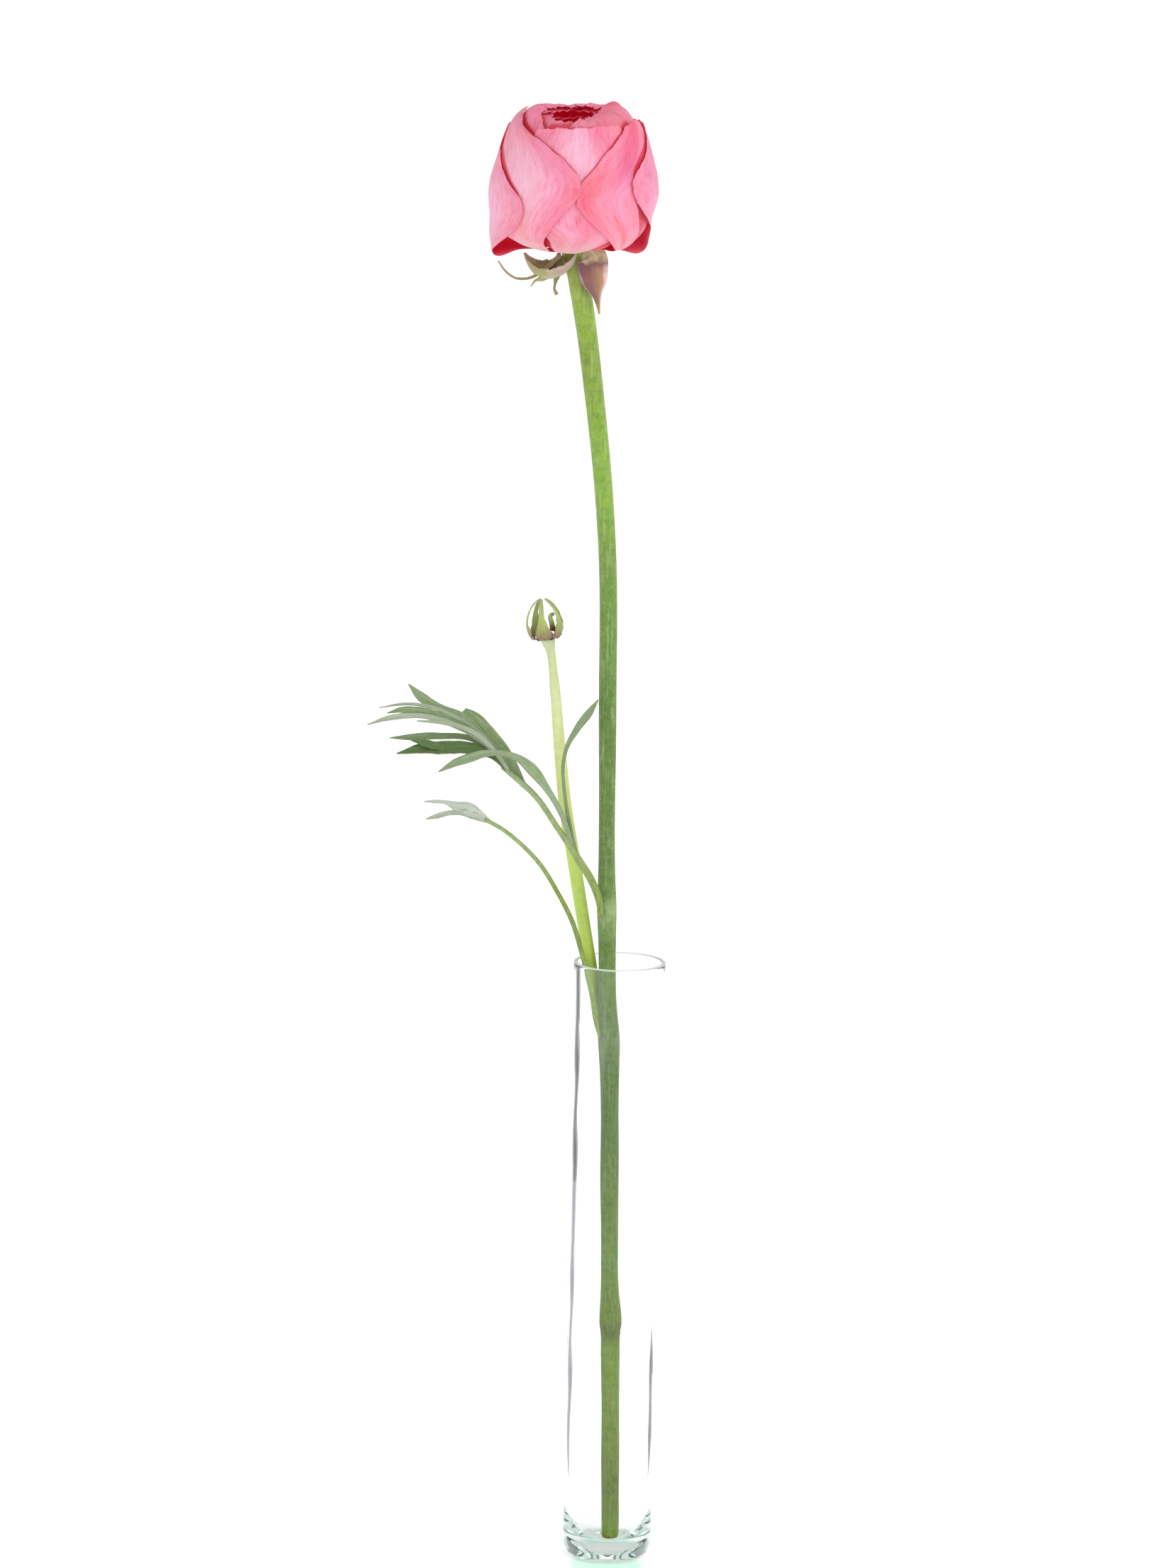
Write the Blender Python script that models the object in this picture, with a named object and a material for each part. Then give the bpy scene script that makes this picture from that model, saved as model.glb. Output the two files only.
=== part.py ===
"""A cut ranunculus in a slim glass tube vase: one open double flower, one bud and two divided leaves.

The origin is the centre of the vase's flat underside, +Z is up and -Y is the front.
Lengths below are in millimetres and are turned to metres as each mesh is made.
"""

import math

import bmesh
import bpy
import numpy as np
from mathutils import Matrix, Vector

MM = 0.001

# Vase: a drawn glass tube with a thick rounded floor
VASE_HEIGHT = 170.0
VASE_RADIUS = 12.3
VASE_WALL = 1.6
LIP_FLARE = 0.55
FOOT_RADIUS = 11.0  # of the flat underside
FLOOR_THICKNESS = 3.4
FLOOR_BOWL_DEPTH = 12.5  # height over which the inner wall rounds into the floor
VASE_SIDES = 40

# Main stem: centre line and radius, from the cut end up to the flower
STEM_SIDES = 12
MAIN_STEM = [
    (1.0, -1.0, 4.1, 2.35), (0.6, -0.9, 24, 2.45), (-0.2, -0.7, 58, 2.6), (-0.4, -0.6, 66.9, 3.1),
    (-0.7, -0.5, 75, 2.6), (-1.5, -0.1, 108, 2.6), (-2.2, 0.4, 138, 2.7), (-2.7, 0.8, 148.5, 3.1),
    (-3.1, 1.0, 157, 2.6), (-3.7, 1.3, 178, 2.55), (-3.9, 1.4, 184, 2.75), (-4.1, 1.5, 192, 2.45),
    (-4.9, 1.8, 240, 2.4), (-6.0, 2.0, 285, 2.45), (-7.6, 2.0, 304, 2.55), (-10.4, 2.0, 327, 2.7),
    (-13.2, 1.9, 347, 2.85), (-15.6, 1.8, 361, 3.0),
]
MAIN_STEM_RINGS = 34

# Flower head: its base point, how far it nods to the front, and the receptacle that carries the petals
HEAD_BASE = (-17.0, 1.7, 369.5)
HEAD_NOD = 6.0  # degrees
RECEPTACLE = [(-2.2, 3.3), (0.0, 4.1), (5.0, 3.2), (9.6, 2.3), (14.0, 1.6), (15.2, 0.8)]  # height, radius

# Petals lie in nested layers. Each layer is a (radius, height) curve from the receptacle to the margin:
# the outermost, one at two thirds of the way in, and the innermost.
PETAL_COUNT = 33
PETAL_THICKNESS = 0.18
LAYER_OUTER = [(4.4, 0.3), (8, -0.7), (13, -0.9), (18, 0.3), (21.2, 3.2), (22.9, 8), (23.2, 13.5),
               (22.4, 20), (20.5, 27), (18.0, 33.5), (16.3, 38)]
LAYER_MIDDLE = [(2.6, 9.6), (4.2, 8.8), (6.0, 8.8), (8.2, 9.6), (9.6, 11.2), (10.4, 14), (10.7, 18),
                (10.5, 22.5), (9.8, 27.5), (8.8, 32.5), (7.6, 37)]
LAYER_INNER = [(1.9, 14), (2.4, 13.6), (3.0, 13.7), (3.5, 14.1), (3.8, 14.8), (4.0, 16), (4.1, 18),
               (4.0, 20.5), (3.8, 23), (3.5, 25.5), (3.0, 28)]
MIDDLE_AT = 0.67  # share of the layers that lie outside LAYER_MIDDLE
LOW_ROWS = [0, 0.12, 0.22, 0.31, 0.41, 0.56]  # at the same place in every layer, so that facets stay parallel
OUTER_PETALS, OUTER_ROWS, OUTER_COLUMNS = 10, [0.66, 0.76, 0.88, 1.0], 8
INNER_ROWS, INNER_COLUMNS = [0.76, 1.0], 6
TURN = 137.5  # degrees from one inner petal to the next

# Outline of a petal: along its length, its left and right margin in degrees from its middle
COMMON_OUTLINE = [(0, -14, 14), (0.12, -15, 15), (0.22, -24, 24), (0.35, -40, 40), (0.5, -52, 52),
                  (0.65, -56, 56), (0.8, -53, 53), (1.0, -44, 44)]
# The outermost petals: length, how far the lobes beside the claw hang down, and margins in degrees from
# the front, to the right positive
SHOWN_PETALS = [
    (0.94, 4.0, [(0, -112, -84), (0.15, -118, -84), (0.3, -138, -76), (0.39, -150, -51), (0.49, -158, -37),
                 (0.56, -160, -36), (0.67, -158, -44), (0.79, -148, -54), (1.0, -132, -70)]),
    (0.94, 3.5, [(0, 91, 119), (0.15, 90, 122), (0.3, 80, 140), (0.4, 71, 152), (0.5, 57, 160),
                 (0.6, 48, 162), (0.7, 47, 161), (0.8, 50, 154), (1.0, 72, 138)]),
    (0.95, 0.0, [(0, 166, 194), (0.15, 164, 196), (0.35, 140, 220), (0.5, 128, 232), (0.65, 124, 236),
                 (0.8, 128, 232), (1.0, 138, 222)]),
    (0.96, 0.0, [(0, -52, -25), (0.15, -55, -24), (0.3, -66, -22), (0.38, -74, -19), (0.48, -84, -9),
                 (0.57, -92, 1), (0.66, -97, 7), (0.78, -99, -2), (0.88, -96, -18), (1.0, -88, -42)]),
    (0.96, 1.2, [(0, 28, 56), (0.15, 28, 56), (0.3, 31, 59), (0.38, 25, 60), (0.46, 15, 61),
                 (0.56, 2, 66), (0.63, -1, 74), (0.72, 6, 81), (0.82, 19, 86), (1.0, 40, 82)]),
    (0.97, 0.0, [(0, -14, 14), (0.12, -18, 18), (0.2, -24, 24), (0.3, -30, 34), (0.45, -42, 48),
                 (0.6, -50, 55), (0.8, -52, 55), (1.0, -44, 46)]),
]
DROOP_AT, DROOP_REACH = 0.3, 0.09  # where along the petal the lobes hang, and over what share of it
WHORL_MIDDLES = [72, -72, 144, -144]  # degrees, of the four petals that complete the second whorl
INNER_LENGTH = 0.99

# Sepals: centre line with width, the direction the blade faces, and how far it is cupped
SEPAL_THICKNESS = 0.35
SEPALS = [
    ([(-14.4, -1.5, 367.3, 3.3), (-12.4, -3.4, 366, 8), (-11.6, -3.9, 362.5, 9), (-11.3, -3.7, 358.5, 8),
      (-10.9, -3.4, 354.8, 5), (-10.1, -3.1, 351, 0.7)], (0.1, -1, 0.1), -35),
    ([(-16.5, -2.15, 367.0, 3.4), (-18.8, -5.4, 363.8, 7), (-23, -6.2, 361.6, 8), (-27.4, -6.0, 363.4, 6.5),
      (-30.6, -5.4, 367.2, 1.6)], (0, -0.25, 1), 50),
    ([(-20.3, 0.2, 366.8, 2.4), (-24.5, -0.9, 363, 3), (-28.6, -1.2, 360.5, 2), (-32.5, -1.4, 360.3, 1.4),
      (-35.6, -1.5, 362.3, 1.0), (-37.6, -1.5, 365.2, 0.5)], (-0.3, -0.3, 1), 35),
    ([(-20.7, 3.7, 366.9, 2.8), (-23.2, 3.4, 362.4, 5), (-26, 2.6, 359.3, 5), (-28.6, 2.0, 356.9, 0.8)],
     (-0.6, -0.2, 0.7), 45),
    ([(-17.5, 5.6, 366.9, 3), (-19.4, 7.4, 363, 4.5), (-21.3, 7.0, 359, 3.2), (-21.8, 6.0, 355, 0.7)],
     (-0.3, 0.9, 0.4), 40),
]

# Side stem and its bud
SIDE_STEM = [
    (-4.2, 4.9, 147.8, 1.2), (-4.9, 5.3, 151.5, 1.4), (-5.9, 4.9, 155.8, 1.5), (-7.3, 4.2, 163.9, 1.65),
    (-8.5, 3.6, 170.5, 1.7), (-10.3, 3.7, 180, 1.8), (-13.3, 4.3, 197, 1.85), (-16.0, 4.8, 212, 1.8),
    (-18.0, 5.2, 229, 1.65), (-19.6, 5.5, 245, 1.45), (-21.2, 5.8, 256.5, 1.4), (-22.0, 5.8, 259.6, 2.0),
    (-22.3, 5.8, 261.0, 1.5),
]
SIDE_STEM_RINGS = 22
SIDE_STEM_SIDES = 10
BUD_BASE = (-22.2, 5.8, 259.6)
BUD_LEAN = 8.0  # degrees to the left
# Radius, height and width along a sepal of the bud
BUD_CURVE = [(1.8, 0.4, 1.6), (3.9, 0.2, 3.2), (4.8, 2.2, 3.0), (5.0, 5, 1.9), (3.9, 8, 1.4),
             (2.3, 10, 1.1), (1.0, 10.9, 0.7)]
BUD_ANGLES = [-8, 58, 118, -148, -84]
BUD_THICKNESS = 0.3
BUD_INNER = [(-20.6, 4.9, 261.7, 1.6), (-20.9, 4.0, 264.0, 1.5), (-21.3, 4.2, 266.0, 1.2),
             (-20.3, 5.0, 266.6, 0.9)]

# Leaves: a stalk is a round line of (x, y, z, radius). Each lobe is a line of (x, y, z, width) that starts
# inside the stalk, with the direction its blade faces and how far it is cupped.
LEAF_THICKNESS = 0.5
LEAF_FACE = (-0.25, -0.75, 0.6)
DIVIDED_STALK = [(-5.4, -1.9, 183, 0.8), (-6.4, -2.9, 188.5, 1.0), (-8.8, -3.1, 194.1, 1.1),
                 (-11.3, -3.1, 197.9, 1.1), (-14.2, -3.0, 202.4, 1.0), (-18.3, -2.8, 208.2, 0.85),
                 (-24.1, -2.6, 216.3, 0.85), (-30.8, -2.5, 222.3, 0.8), (-33.7, -2.5, 224.5, 0.6)]
DIVIDED_RIBS = [
    ([(-12.6, -3.1, 200, 1.6), (-14.6, -3.3, 208.8, 1.5), (-16.2, -3.0, 217.5, 1.2),
      (-16.8, -2.6, 225.1, 1.2), (-15.9, -2.2, 230.3, 1.4), (-12.8, -1.5, 236.1, 2.2),
      (-10, -1.0, 239.8, 2.4), (-7.6, -0.5, 243.6, 0.8)], (-0.6, -0.8, 0), 25),
    ([(-13.4, -3.1, 201.4, 1.4), (-17, -4.0, 211.9, 1.5), (-21.2, -4.5, 219.1, 2.0),
      (-25.6, -4.9, 224.6, 3.3), (-29.5, -5.2, 227.7, 2.2), (-34.5, -5.7, 229, 1.8),
      (-43.1, -6.2, 227.4, 3.0), (-46.9, -6.6, 225.9, 2.4), (-51.2, -7.0, 223.6, 0.6)],
     LEAF_FACE, 20),
    ([(-27.6, -2.5, 219.4, 1.6), (-30.6, -1.9, 223.8, 3.4), (-33.8, -1.0, 228.3, 4.6),
      (-38.6, 0, 233.6, 5.0), (-42.5, 0.9, 237.6, 4.2), (-44.6, 1.5, 239.5, 1.6)],
     (-0.1, -0.9, 0.45), 15),
    ([(-31.5, -2.3, 223, 1.0), (-38.6, -1.0, 232.5, 1.4), (-44.4, 0, 238, 1.6),
      (-52.1, 1.0, 240.6, 2.0), (-56.3, 2.4, 242.6, 2.8), (-60.1, 4.0, 246, 0.6)], LEAF_FACE, 20),
    ([(-31.8, -2.3, 223.2, 1.0), (-38.6, -1.6, 232.3, 1.2), (-46.3, -1.8, 237.8, 1.2),
      (-54.4, -2.0, 241, 1.0), (-61, -2.2, 241.5, 0.9), (-67.9, -2.5, 240.4, 0.4)], LEAF_FACE, 20),
    ([(-32.1, -2.4, 223.4, 1.0), (-41.5, -2.2, 234.1, 1.6), (-49.1, -2.8, 237.8, 2.2),
      (-56, -3.6, 239.5, 3.0), (-61.5, -4.4, 240.2, 2.0), (-65.6, -5.0, 239.4, 0.5)],
     LEAF_FACE, 25),
    ([(-31.5, -2.7, 222.8, 1.0), (-39.4, -3.1, 231.9, 1.6), (-48.1, -4.0, 236.6, 1.8),
      (-56.7, -5.2, 238.8, 1.6), (-64.2, -6.4, 238.4, 1.8), (-71, -8.0, 236.6, 0.5)],
     LEAF_FACE, 25),
    ([(-31.2, -2.7, 222.6, 1.0), (-36.5, -3.4, 229.8, 1.4), (-42, -4.6, 234.6, 1.5),
      (-49, -6.0, 237, 1.3), (-57.3, -7.6, 237.9, 0.6)], LEAF_FACE, 20),
    ([(-32.4, -2.4, 223.6, 1.0), (-37.5, -1.0, 229, 1.4), (-42.4, 0.8, 231.6, 1.7),
      (-50.1, 3.0, 231.8, 2.0), (-58.2, 5.2, 230.9, 2.2), (-65.1, 7.0, 230.2, 0.6)], LEAF_FACE, 20),
    ([(-31, -2.6, 222.4, 1.2), (-36, -3.3, 227.6, 2.2), (-41.5, -3.6, 229.6, 3.6),
      (-48, -4.4, 229.9, 4.2), (-55.5, -5.4, 229.7, 3.6), (-62.8, -7.0, 228.5, 0.6)],
     LEAF_FACE, 20),
]
LOWER_STALK = [(-5.7, -2.0, 148.8, 0.95), (-6.3, -2.5, 153, 0.85), (-7.5, -1.9, 161.3, 0.75),
               (-9.2, -1.5, 167.5, 0.7), (-10.3, -1.3, 171.3, 0.7), (-13.5, -1.2, 181.3, 0.7),
               (-17.8, -1.1, 189.5, 0.65), (-22.7, -1.0, 197.1, 0.65), (-28.5, -0.8, 203, 0.6),
               (-33.8, -0.7, 207, 0.6), (-38.2, -0.6, 209.3, 0.6)]
LOWER_RIBS = [
    ([(-36.5, -0.6, 208.4, 1.0), (-39.5, -0.7, 210.3, 2.6), (-42.8, -0.9, 212, 4.0),
      (-46.5, -1.2, 213, 2.6), (-49.1, -1.4, 214, 1.2), (-52, -1.6, 214.2, 1.0),
      (-55.1, -1.8, 214.2, 0.4)], (-0.1, -0.9, 0.45), 20),
    ([(-36.8, -0.7, 208.6, 1.0), (-41.5, -1.2, 210.4, 2.4), (-44.3, -1.7, 211.2, 2.0),
      (-47.7, -2.2, 211.2, 1.6), (-51.4, -2.7, 210.3, 1.6), (-54.5, -3.2, 209.5, 0.5)],
     LEAF_FACE, 20),
]


def clear_scene():
    for old in list(bpy.data.objects):
        bpy.data.objects.remove(old, do_unlink=True)


def make_material(name, colour, roughness, transmission=0.0):
    """A Principled material; the colour is linear RGB."""
    material = bpy.data.materials.new(name)
    material.use_nodes = True
    shader = material.node_tree.nodes["Principled BSDF"]
    shader.inputs["Base Color"].default_value = (*colour, 1.0)
    shader.inputs["Roughness"].default_value = roughness
    shader.inputs["Metallic"].default_value = 0.0
    shader.inputs["Transmission Weight"].default_value = transmission
    material.diffuse_color = (*colour, 1.0)
    return material


def make_object(name, points, faces, material, matrix=None):
    """A mesh object from points in millimetres, with its normals facing out."""
    mesh = bpy.data.meshes.new(name)
    mesh.from_pydata([Vector(p) * MM for p in points], [], faces)
    shape = bmesh.new()
    shape.from_mesh(mesh)
    bmesh.ops.recalc_face_normals(shape, faces=shape.faces)
    shape.to_mesh(mesh)
    shape.free()
    mesh.materials.append(material)
    mesh.shade_smooth()
    made = bpy.data.objects.new(name, mesh)
    bpy.context.collection.objects.link(made)
    if matrix is not None:
        made.matrix_world = matrix
    return made


def smooth_rows(rows, count):
    """The rows of numbers read at `count` even steps along a smooth curve through them all."""
    rows = np.array(rows, dtype=float)
    knots = np.concatenate([[0], np.cumsum(np.linalg.norm(np.diff(rows[:, :3], axis=0), axis=1))])
    slopes = np.gradient(rows, knots, axis=0)
    read = []
    for at in np.linspace(0, knots[-1], count):
        i = min(int(np.searchsorted(knots, at, side="right")) - 1, len(knots) - 2)
        step = knots[i + 1] - knots[i]
        u = (at - knots[i]) / step
        read.append(
            (2 * u**3 - 3 * u**2 + 1) * rows[i] + (u**3 - 2 * u**2 + u) * step * slopes[i]
            + (3 * u**2 - 2 * u**3) * rows[i + 1] + (u**3 - u**2) * step * slopes[i + 1]
        )
    return np.array(read)


def directions(centres):
    along = np.gradient(centres, axis=0)
    return along / np.linalg.norm(along, axis=1)[:, None]


def skin(rings):
    """The points and faces of a closed skin over equal rings of points, with a flat cap at each end."""
    count = len(rings[0])
    points = [p for ring in rings for p in ring]
    faces = [tuple(reversed(range(count)))]
    for row in range(len(rings) - 1):
        for i in range(count):
            j = (i + 1) % count
            faces.append((row * count + i, row * count + j, (row + 1) * count + j, (row + 1) * count + i))
    faces.append(tuple((len(rings) - 1) * count + i for i in range(count)))
    return points, faces


def tube_rings(line, sides):
    """Round rings square to a line of (x, y, z, radius)."""
    rings = []
    side = np.array([1.0, 0.0, 0.0])
    for (x, y, z, radius), along in zip(line, directions(line[:, :3])):
        side = side - along * side.dot(along)
        side /= np.linalg.norm(side)
        other = np.cross(along, side)
        turns = [2 * math.pi * k / sides for k in range(sides)]
        centre = np.array([x, y, z])
        rings.append([centre + radius * (math.cos(a) * side + math.sin(a) * other) for a in turns])
    return rings


def blade_rings(line, face, cup, thickness, across=4):
    """Thin cupped sections square to a line of (x, y, z, width); a positive cup is hollow towards `face`."""
    rings = []
    half = math.radians(abs(cup))
    bend = math.copysign(1.0, cup)
    for (x, y, z, width), along in zip(line, directions(line[:, :3])):
        facing = np.array(face, dtype=float)
        facing -= along * facing.dot(along)
        facing /= np.linalg.norm(facing)
        side = np.cross(facing, along)
        radius = width / (2 * half)
        thick = min(thickness, width * 0.6)
        ring = []
        for lift, order in ((thick / 2, range(across + 1)), (-thick / 2, range(across, -1, -1))):
            for k in order:
                a = half * (2 * k / across - 1)
                out = radius * math.sin(a) * side + bend * radius * (1 - math.cos(a)) * facing
                tilt = math.cos(a) * facing - bend * math.sin(a) * side
                ring.append(np.array([x, y, z]) + out + lift * tilt)
        rings.append(ring)
    return rings


def build_vase(glass):
    """The tube turned about Z: outside from the underside up, over the lip and down the inside."""
    inner = VASE_RADIUS - VASE_WALL
    top = VASE_HEIGHT
    bowl = [math.radians(a) for a in (14, 32, 49, 64, 78)]
    profile = [
        (FOOT_RADIUS, 0.0), (VASE_RADIUS - 0.35, 0.35), (VASE_RADIUS, 1.5), (VASE_RADIUS, top - 14),
        (VASE_RADIUS + 0.3 * LIP_FLARE, top - 5), (VASE_RADIUS + LIP_FLARE, top - 1.2),
        (VASE_RADIUS + LIP_FLARE - 0.3, top - 0.3), (VASE_RADIUS + LIP_FLARE - 0.8, top),
        (inner + LIP_FLARE + 0.2, top - 0.4), (inner + LIP_FLARE - 0.1, top - 1.6),
        (inner + 0.15, top - 6), (inner, top - 14), (inner, FLOOR_THICKNESS + FLOOR_BOWL_DEPTH),
    ]
    for a in bowl:
        profile.append((inner * math.cos(a) ** 0.55, FLOOR_THICKNESS + FLOOR_BOWL_DEPTH * (1 - math.sin(a))))
    rings = []
    for radius, height in profile:
        turns = [2 * math.pi * k / VASE_SIDES for k in range(VASE_SIDES)]
        rings.append([(radius * math.cos(a), radius * math.sin(a), height) for a in turns])
    points, faces = skin(rings)
    return make_object("glass_vase", points, faces, glass)


def head_matrix():
    return Matrix.Translation(Vector(HEAD_BASE)) @ Matrix.Rotation(math.radians(HEAD_NOD), 4, "X")


def build_main_stem(green):
    """The stem with its nodes, grown on into the receptacle."""
    place = head_matrix()
    line = list(smooth_rows(MAIN_STEM, MAIN_STEM_RINGS))
    for height, radius in RECEPTACLE:
        line.append(np.array([*(place @ Vector((0, 0, height))), radius]))
    points, faces = skin(tube_rings(np.array(line), STEM_SIDES))
    return make_object("main_stem", points, faces, green)


def layer_curve(depth):
    """Point and direction readers for the (radius, height) curve of a layer, 0 outermost to 1 innermost."""
    outer, middle, inner = (np.array(c, dtype=float) for c in (LAYER_OUTER, LAYER_MIDDLE, LAYER_INNER))
    if depth < MIDDLE_AT:
        knots = outer + (middle - outer) * depth / MIDDLE_AT
    else:
        knots = middle + (inner - middle) * (depth - MIDDLE_AT) / (1 - MIDDLE_AT)
    return smooth_rows(np.column_stack([knots, np.zeros(len(knots))]), 101)[:, :2]


def read_curve(curve, at):
    place = min(max(at, 0.0), 1.0) * (len(curve) - 1)
    i = min(int(place), len(curve) - 2)
    return curve[i] + (curve[i + 1] - curve[i]) * (place - i)


def petal_point(curve, plan, row, across):
    """A point on the middle of a petal: row from its claw to its top, across from -1 left to 1 right."""
    length, droop, outline = plan
    keys = [key[0] for key in outline]
    left = np.interp(row, keys, [key[1] for key in outline])
    right = np.interp(row, keys, [key[2] for key in outline])
    turn = math.radians(left + (right - left) * (across + 1) / 2)
    fixed = LOW_ROWS[-1]
    reach = length * (1 - 0.05 * across**4)
    at = row if row <= fixed else fixed + (row - fixed) * (reach - fixed) / (1 - fixed)
    radius, height = read_curve(curve, at)
    lobe = droop * math.exp(-(((at - DROOP_AT) / DROOP_REACH) ** 2)) * abs(across) ** 3
    radius += 0.5 * lobe
    height -= lobe
    return np.array([radius * math.sin(turn), -radius * math.cos(turn), height])


def build_petal(name, depth, plan, high_rows, columns, material):
    """A thin shell on its layer: its margins are read from the outline, its top is rounded."""
    curve = layer_curve(depth)
    petal_rows = LOW_ROWS + high_rows
    step = 0.005
    front, back = [], []
    for row in petal_rows:
        for column in range(columns + 1):
            across = 2 * column / columns - 1
            middle = petal_point(curve, plan, row, across)
            ahead = petal_point(curve, plan, row + step, across) - petal_point(curve, plan, row, across)
            aside = petal_point(curve, plan, row, across + step) - petal_point(curve, plan, row, across)
            outward = np.cross(aside, ahead)
            outward *= 0.5 * PETAL_THICKNESS / np.linalg.norm(outward)
            front.append(middle + outward)
            back.append(middle - outward)
    wide = columns + 1
    rows = len(petal_rows)
    shift = len(front)
    faces = []
    for i in range(rows - 1):
        for j in range(columns):
            a, b, c, d = i * wide + j, i * wide + j + 1, (i + 1) * wide + j + 1, (i + 1) * wide + j
            faces += [(a, b, c, d), (a + shift, d + shift, c + shift, b + shift)]
    rim = list(range(wide))
    rim += [i * wide + columns for i in range(1, rows)]
    rim += [(rows - 1) * wide + j for j in range(columns - 1, -1, -1)]
    rim += [i * wide for i in range(rows - 2, 0, -1)]
    for a, b in zip(rim, rim[1:] + rim[:1]):
        faces.append((a, a + shift, b + shift, b))
    scaled = Matrix.Translation(Vector(HEAD_BASE) * MM) @ Matrix.Rotation(math.radians(HEAD_NOD), 4, "X")
    return make_object(name, front + back, faces, material, scaled)


def petal_plans():
    """Length, droop and outline of every petal, outermost first."""
    plans = list(SHOWN_PETALS)
    middles = list(WHORL_MIDDLES)
    while len(plans) + len(middles) < PETAL_COUNT:
        middles.append(36 + TURN * len(middles))
    for middle in middles:
        outline = [(at, middle + left, middle + right) for at, left, right in COMMON_OUTLINE]
        plans.append((INNER_LENGTH, 0.0, outline))
    return plans


def build_petals(pink):
    plans = petal_plans()
    for number, plan in enumerate(plans):
        outer = number < OUTER_PETALS
        rows, columns = (OUTER_ROWS, OUTER_COLUMNS) if outer else (INNER_ROWS, INNER_COLUMNS)
        build_petal(f"petal_{number + 1:02d}", number / (len(plans) - 1), plan, rows, columns, pink)


def build_sepals(material):
    for number, (line, face, cup) in enumerate(SEPALS):
        rings = blade_rings(smooth_rows(line, 8), face, cup, SEPAL_THICKNESS)
        points, faces = skin(rings)
        make_object(f"sepal_{number + 1}", points, faces, material)


def build_side_stem(material):
    points, faces = skin(tube_rings(smooth_rows(SIDE_STEM, SIDE_STEM_RINGS), SIDE_STEM_SIDES))
    return make_object("side_stem", points, faces, material)


def build_bud(material):
    """Five narrow sepals that rise from the bud's base and meet over it, and a small one inside."""
    lean = Matrix.Translation(Vector(BUD_BASE)) @ Matrix.Rotation(math.radians(-BUD_LEAN), 4, "Y")
    for number, angle in enumerate(BUD_ANGLES):
        turn = math.radians(angle)
        outward = Vector((math.sin(turn), -math.cos(turn), 0))
        line = []
        for radius, height, width in BUD_CURVE:
            line.append((*(lean @ (outward * radius + Vector((0, 0, height)))), width))
        face = lean.to_3x3() @ (-outward + Vector((0, 0, 0.15)))
        points, faces = skin(blade_rings(smooth_rows(line, 9), face, 25, BUD_THICKNESS, across=3))
        make_object(f"bud_sepal_{number + 1}", points, faces, material)
    points, faces = skin(blade_rings(smooth_rows(BUD_INNER, 6), (0.2, 1, 0), 25, BUD_THICKNESS, across=3))
    make_object("bud_inner_sepal", points, faces, material)


def build_leaf(name, stalk, ribs, material):
    """A leaf as one body: its lobes joined to the stalk."""
    points, faces = skin(tube_rings(smooth_rows(stalk, 2 * len(stalk)), 6))
    leaf = make_object(name, points, faces, material)
    for number, (line, face, cup) in enumerate(ribs):
        rings = blade_rings(smooth_rows(line, 6 + len(line) // 4), face, cup, LEAF_THICKNESS, across=2)
        points, faces = skin(rings)
        lobe = make_object(f"{name}_lobe_{number + 1}", points, faces, material)
        lobe.hide_render = True
        lobe.display_type = "WIRE"
        join = leaf.modifiers.new(f"Lobe {number + 1}", "BOOLEAN")
        join.operation = "UNION"
        join.solver = "EXACT"
        join.object = lobe
    return leaf


def main():
    clear_scene()
    glass = make_material("clear glass", (0.93, 0.97, 0.95), 0.02, transmission=1.0)
    stem_green = make_material("hairy green stem", (0.18, 0.33, 0.09), 0.55)
    pale_green = make_material("yellow green stem", (0.50, 0.66, 0.16), 0.5)
    petal_pink = make_material("pink petal", (0.86, 0.20, 0.28), 0.5)
    sepal_brown = make_material("withered sepal", (0.42, 0.32, 0.26), 0.6)
    bud_green = make_material("bud sepal", (0.40, 0.50, 0.20), 0.6)
    leaf_green = make_material("leaf green", (0.20, 0.32, 0.14), 0.6)
    build_vase(glass)
    build_main_stem(stem_green)
    build_petals(petal_pink)
    build_sepals(sepal_brown)
    build_side_stem(pale_green)
    build_bud(bud_green)
    build_leaf("divided_leaf", DIVIDED_STALK, DIVIDED_RIBS, leaf_green)
    build_leaf("lower_leaf", LOWER_STALK, LOWER_RIBS, leaf_green)


main()
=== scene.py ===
import math

import bpy
import numpy as np
from mathutils import Matrix


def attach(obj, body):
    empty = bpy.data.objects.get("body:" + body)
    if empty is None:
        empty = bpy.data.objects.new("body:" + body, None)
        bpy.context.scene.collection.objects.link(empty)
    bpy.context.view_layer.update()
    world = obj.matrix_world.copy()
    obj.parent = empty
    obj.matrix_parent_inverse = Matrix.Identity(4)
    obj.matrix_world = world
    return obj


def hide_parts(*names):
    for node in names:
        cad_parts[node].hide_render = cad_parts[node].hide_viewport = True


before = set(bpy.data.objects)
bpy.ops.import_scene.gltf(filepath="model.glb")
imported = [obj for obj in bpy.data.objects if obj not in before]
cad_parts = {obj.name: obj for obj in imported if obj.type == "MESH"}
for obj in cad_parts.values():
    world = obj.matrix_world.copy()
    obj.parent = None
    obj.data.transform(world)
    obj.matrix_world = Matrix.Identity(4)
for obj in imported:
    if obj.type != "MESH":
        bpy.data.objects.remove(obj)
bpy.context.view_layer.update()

# A cut ranunculus in a slim glass tube. Every length below is in millimetres and becomes metres in makePiece.
mm = 0.001


def linear(hexColour):
    # "#rrggbb" in sRGB to the linear colour that the shaders take
    shares = [int(hexColour[i:i + 2], 16) / 255 for i in (1, 3, 5)]
    return (*[c / 12.92 if c <= 0.04045 else ((c + 0.055) / 1.055) ** 2.4 for c in shares], 1.0)


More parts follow.
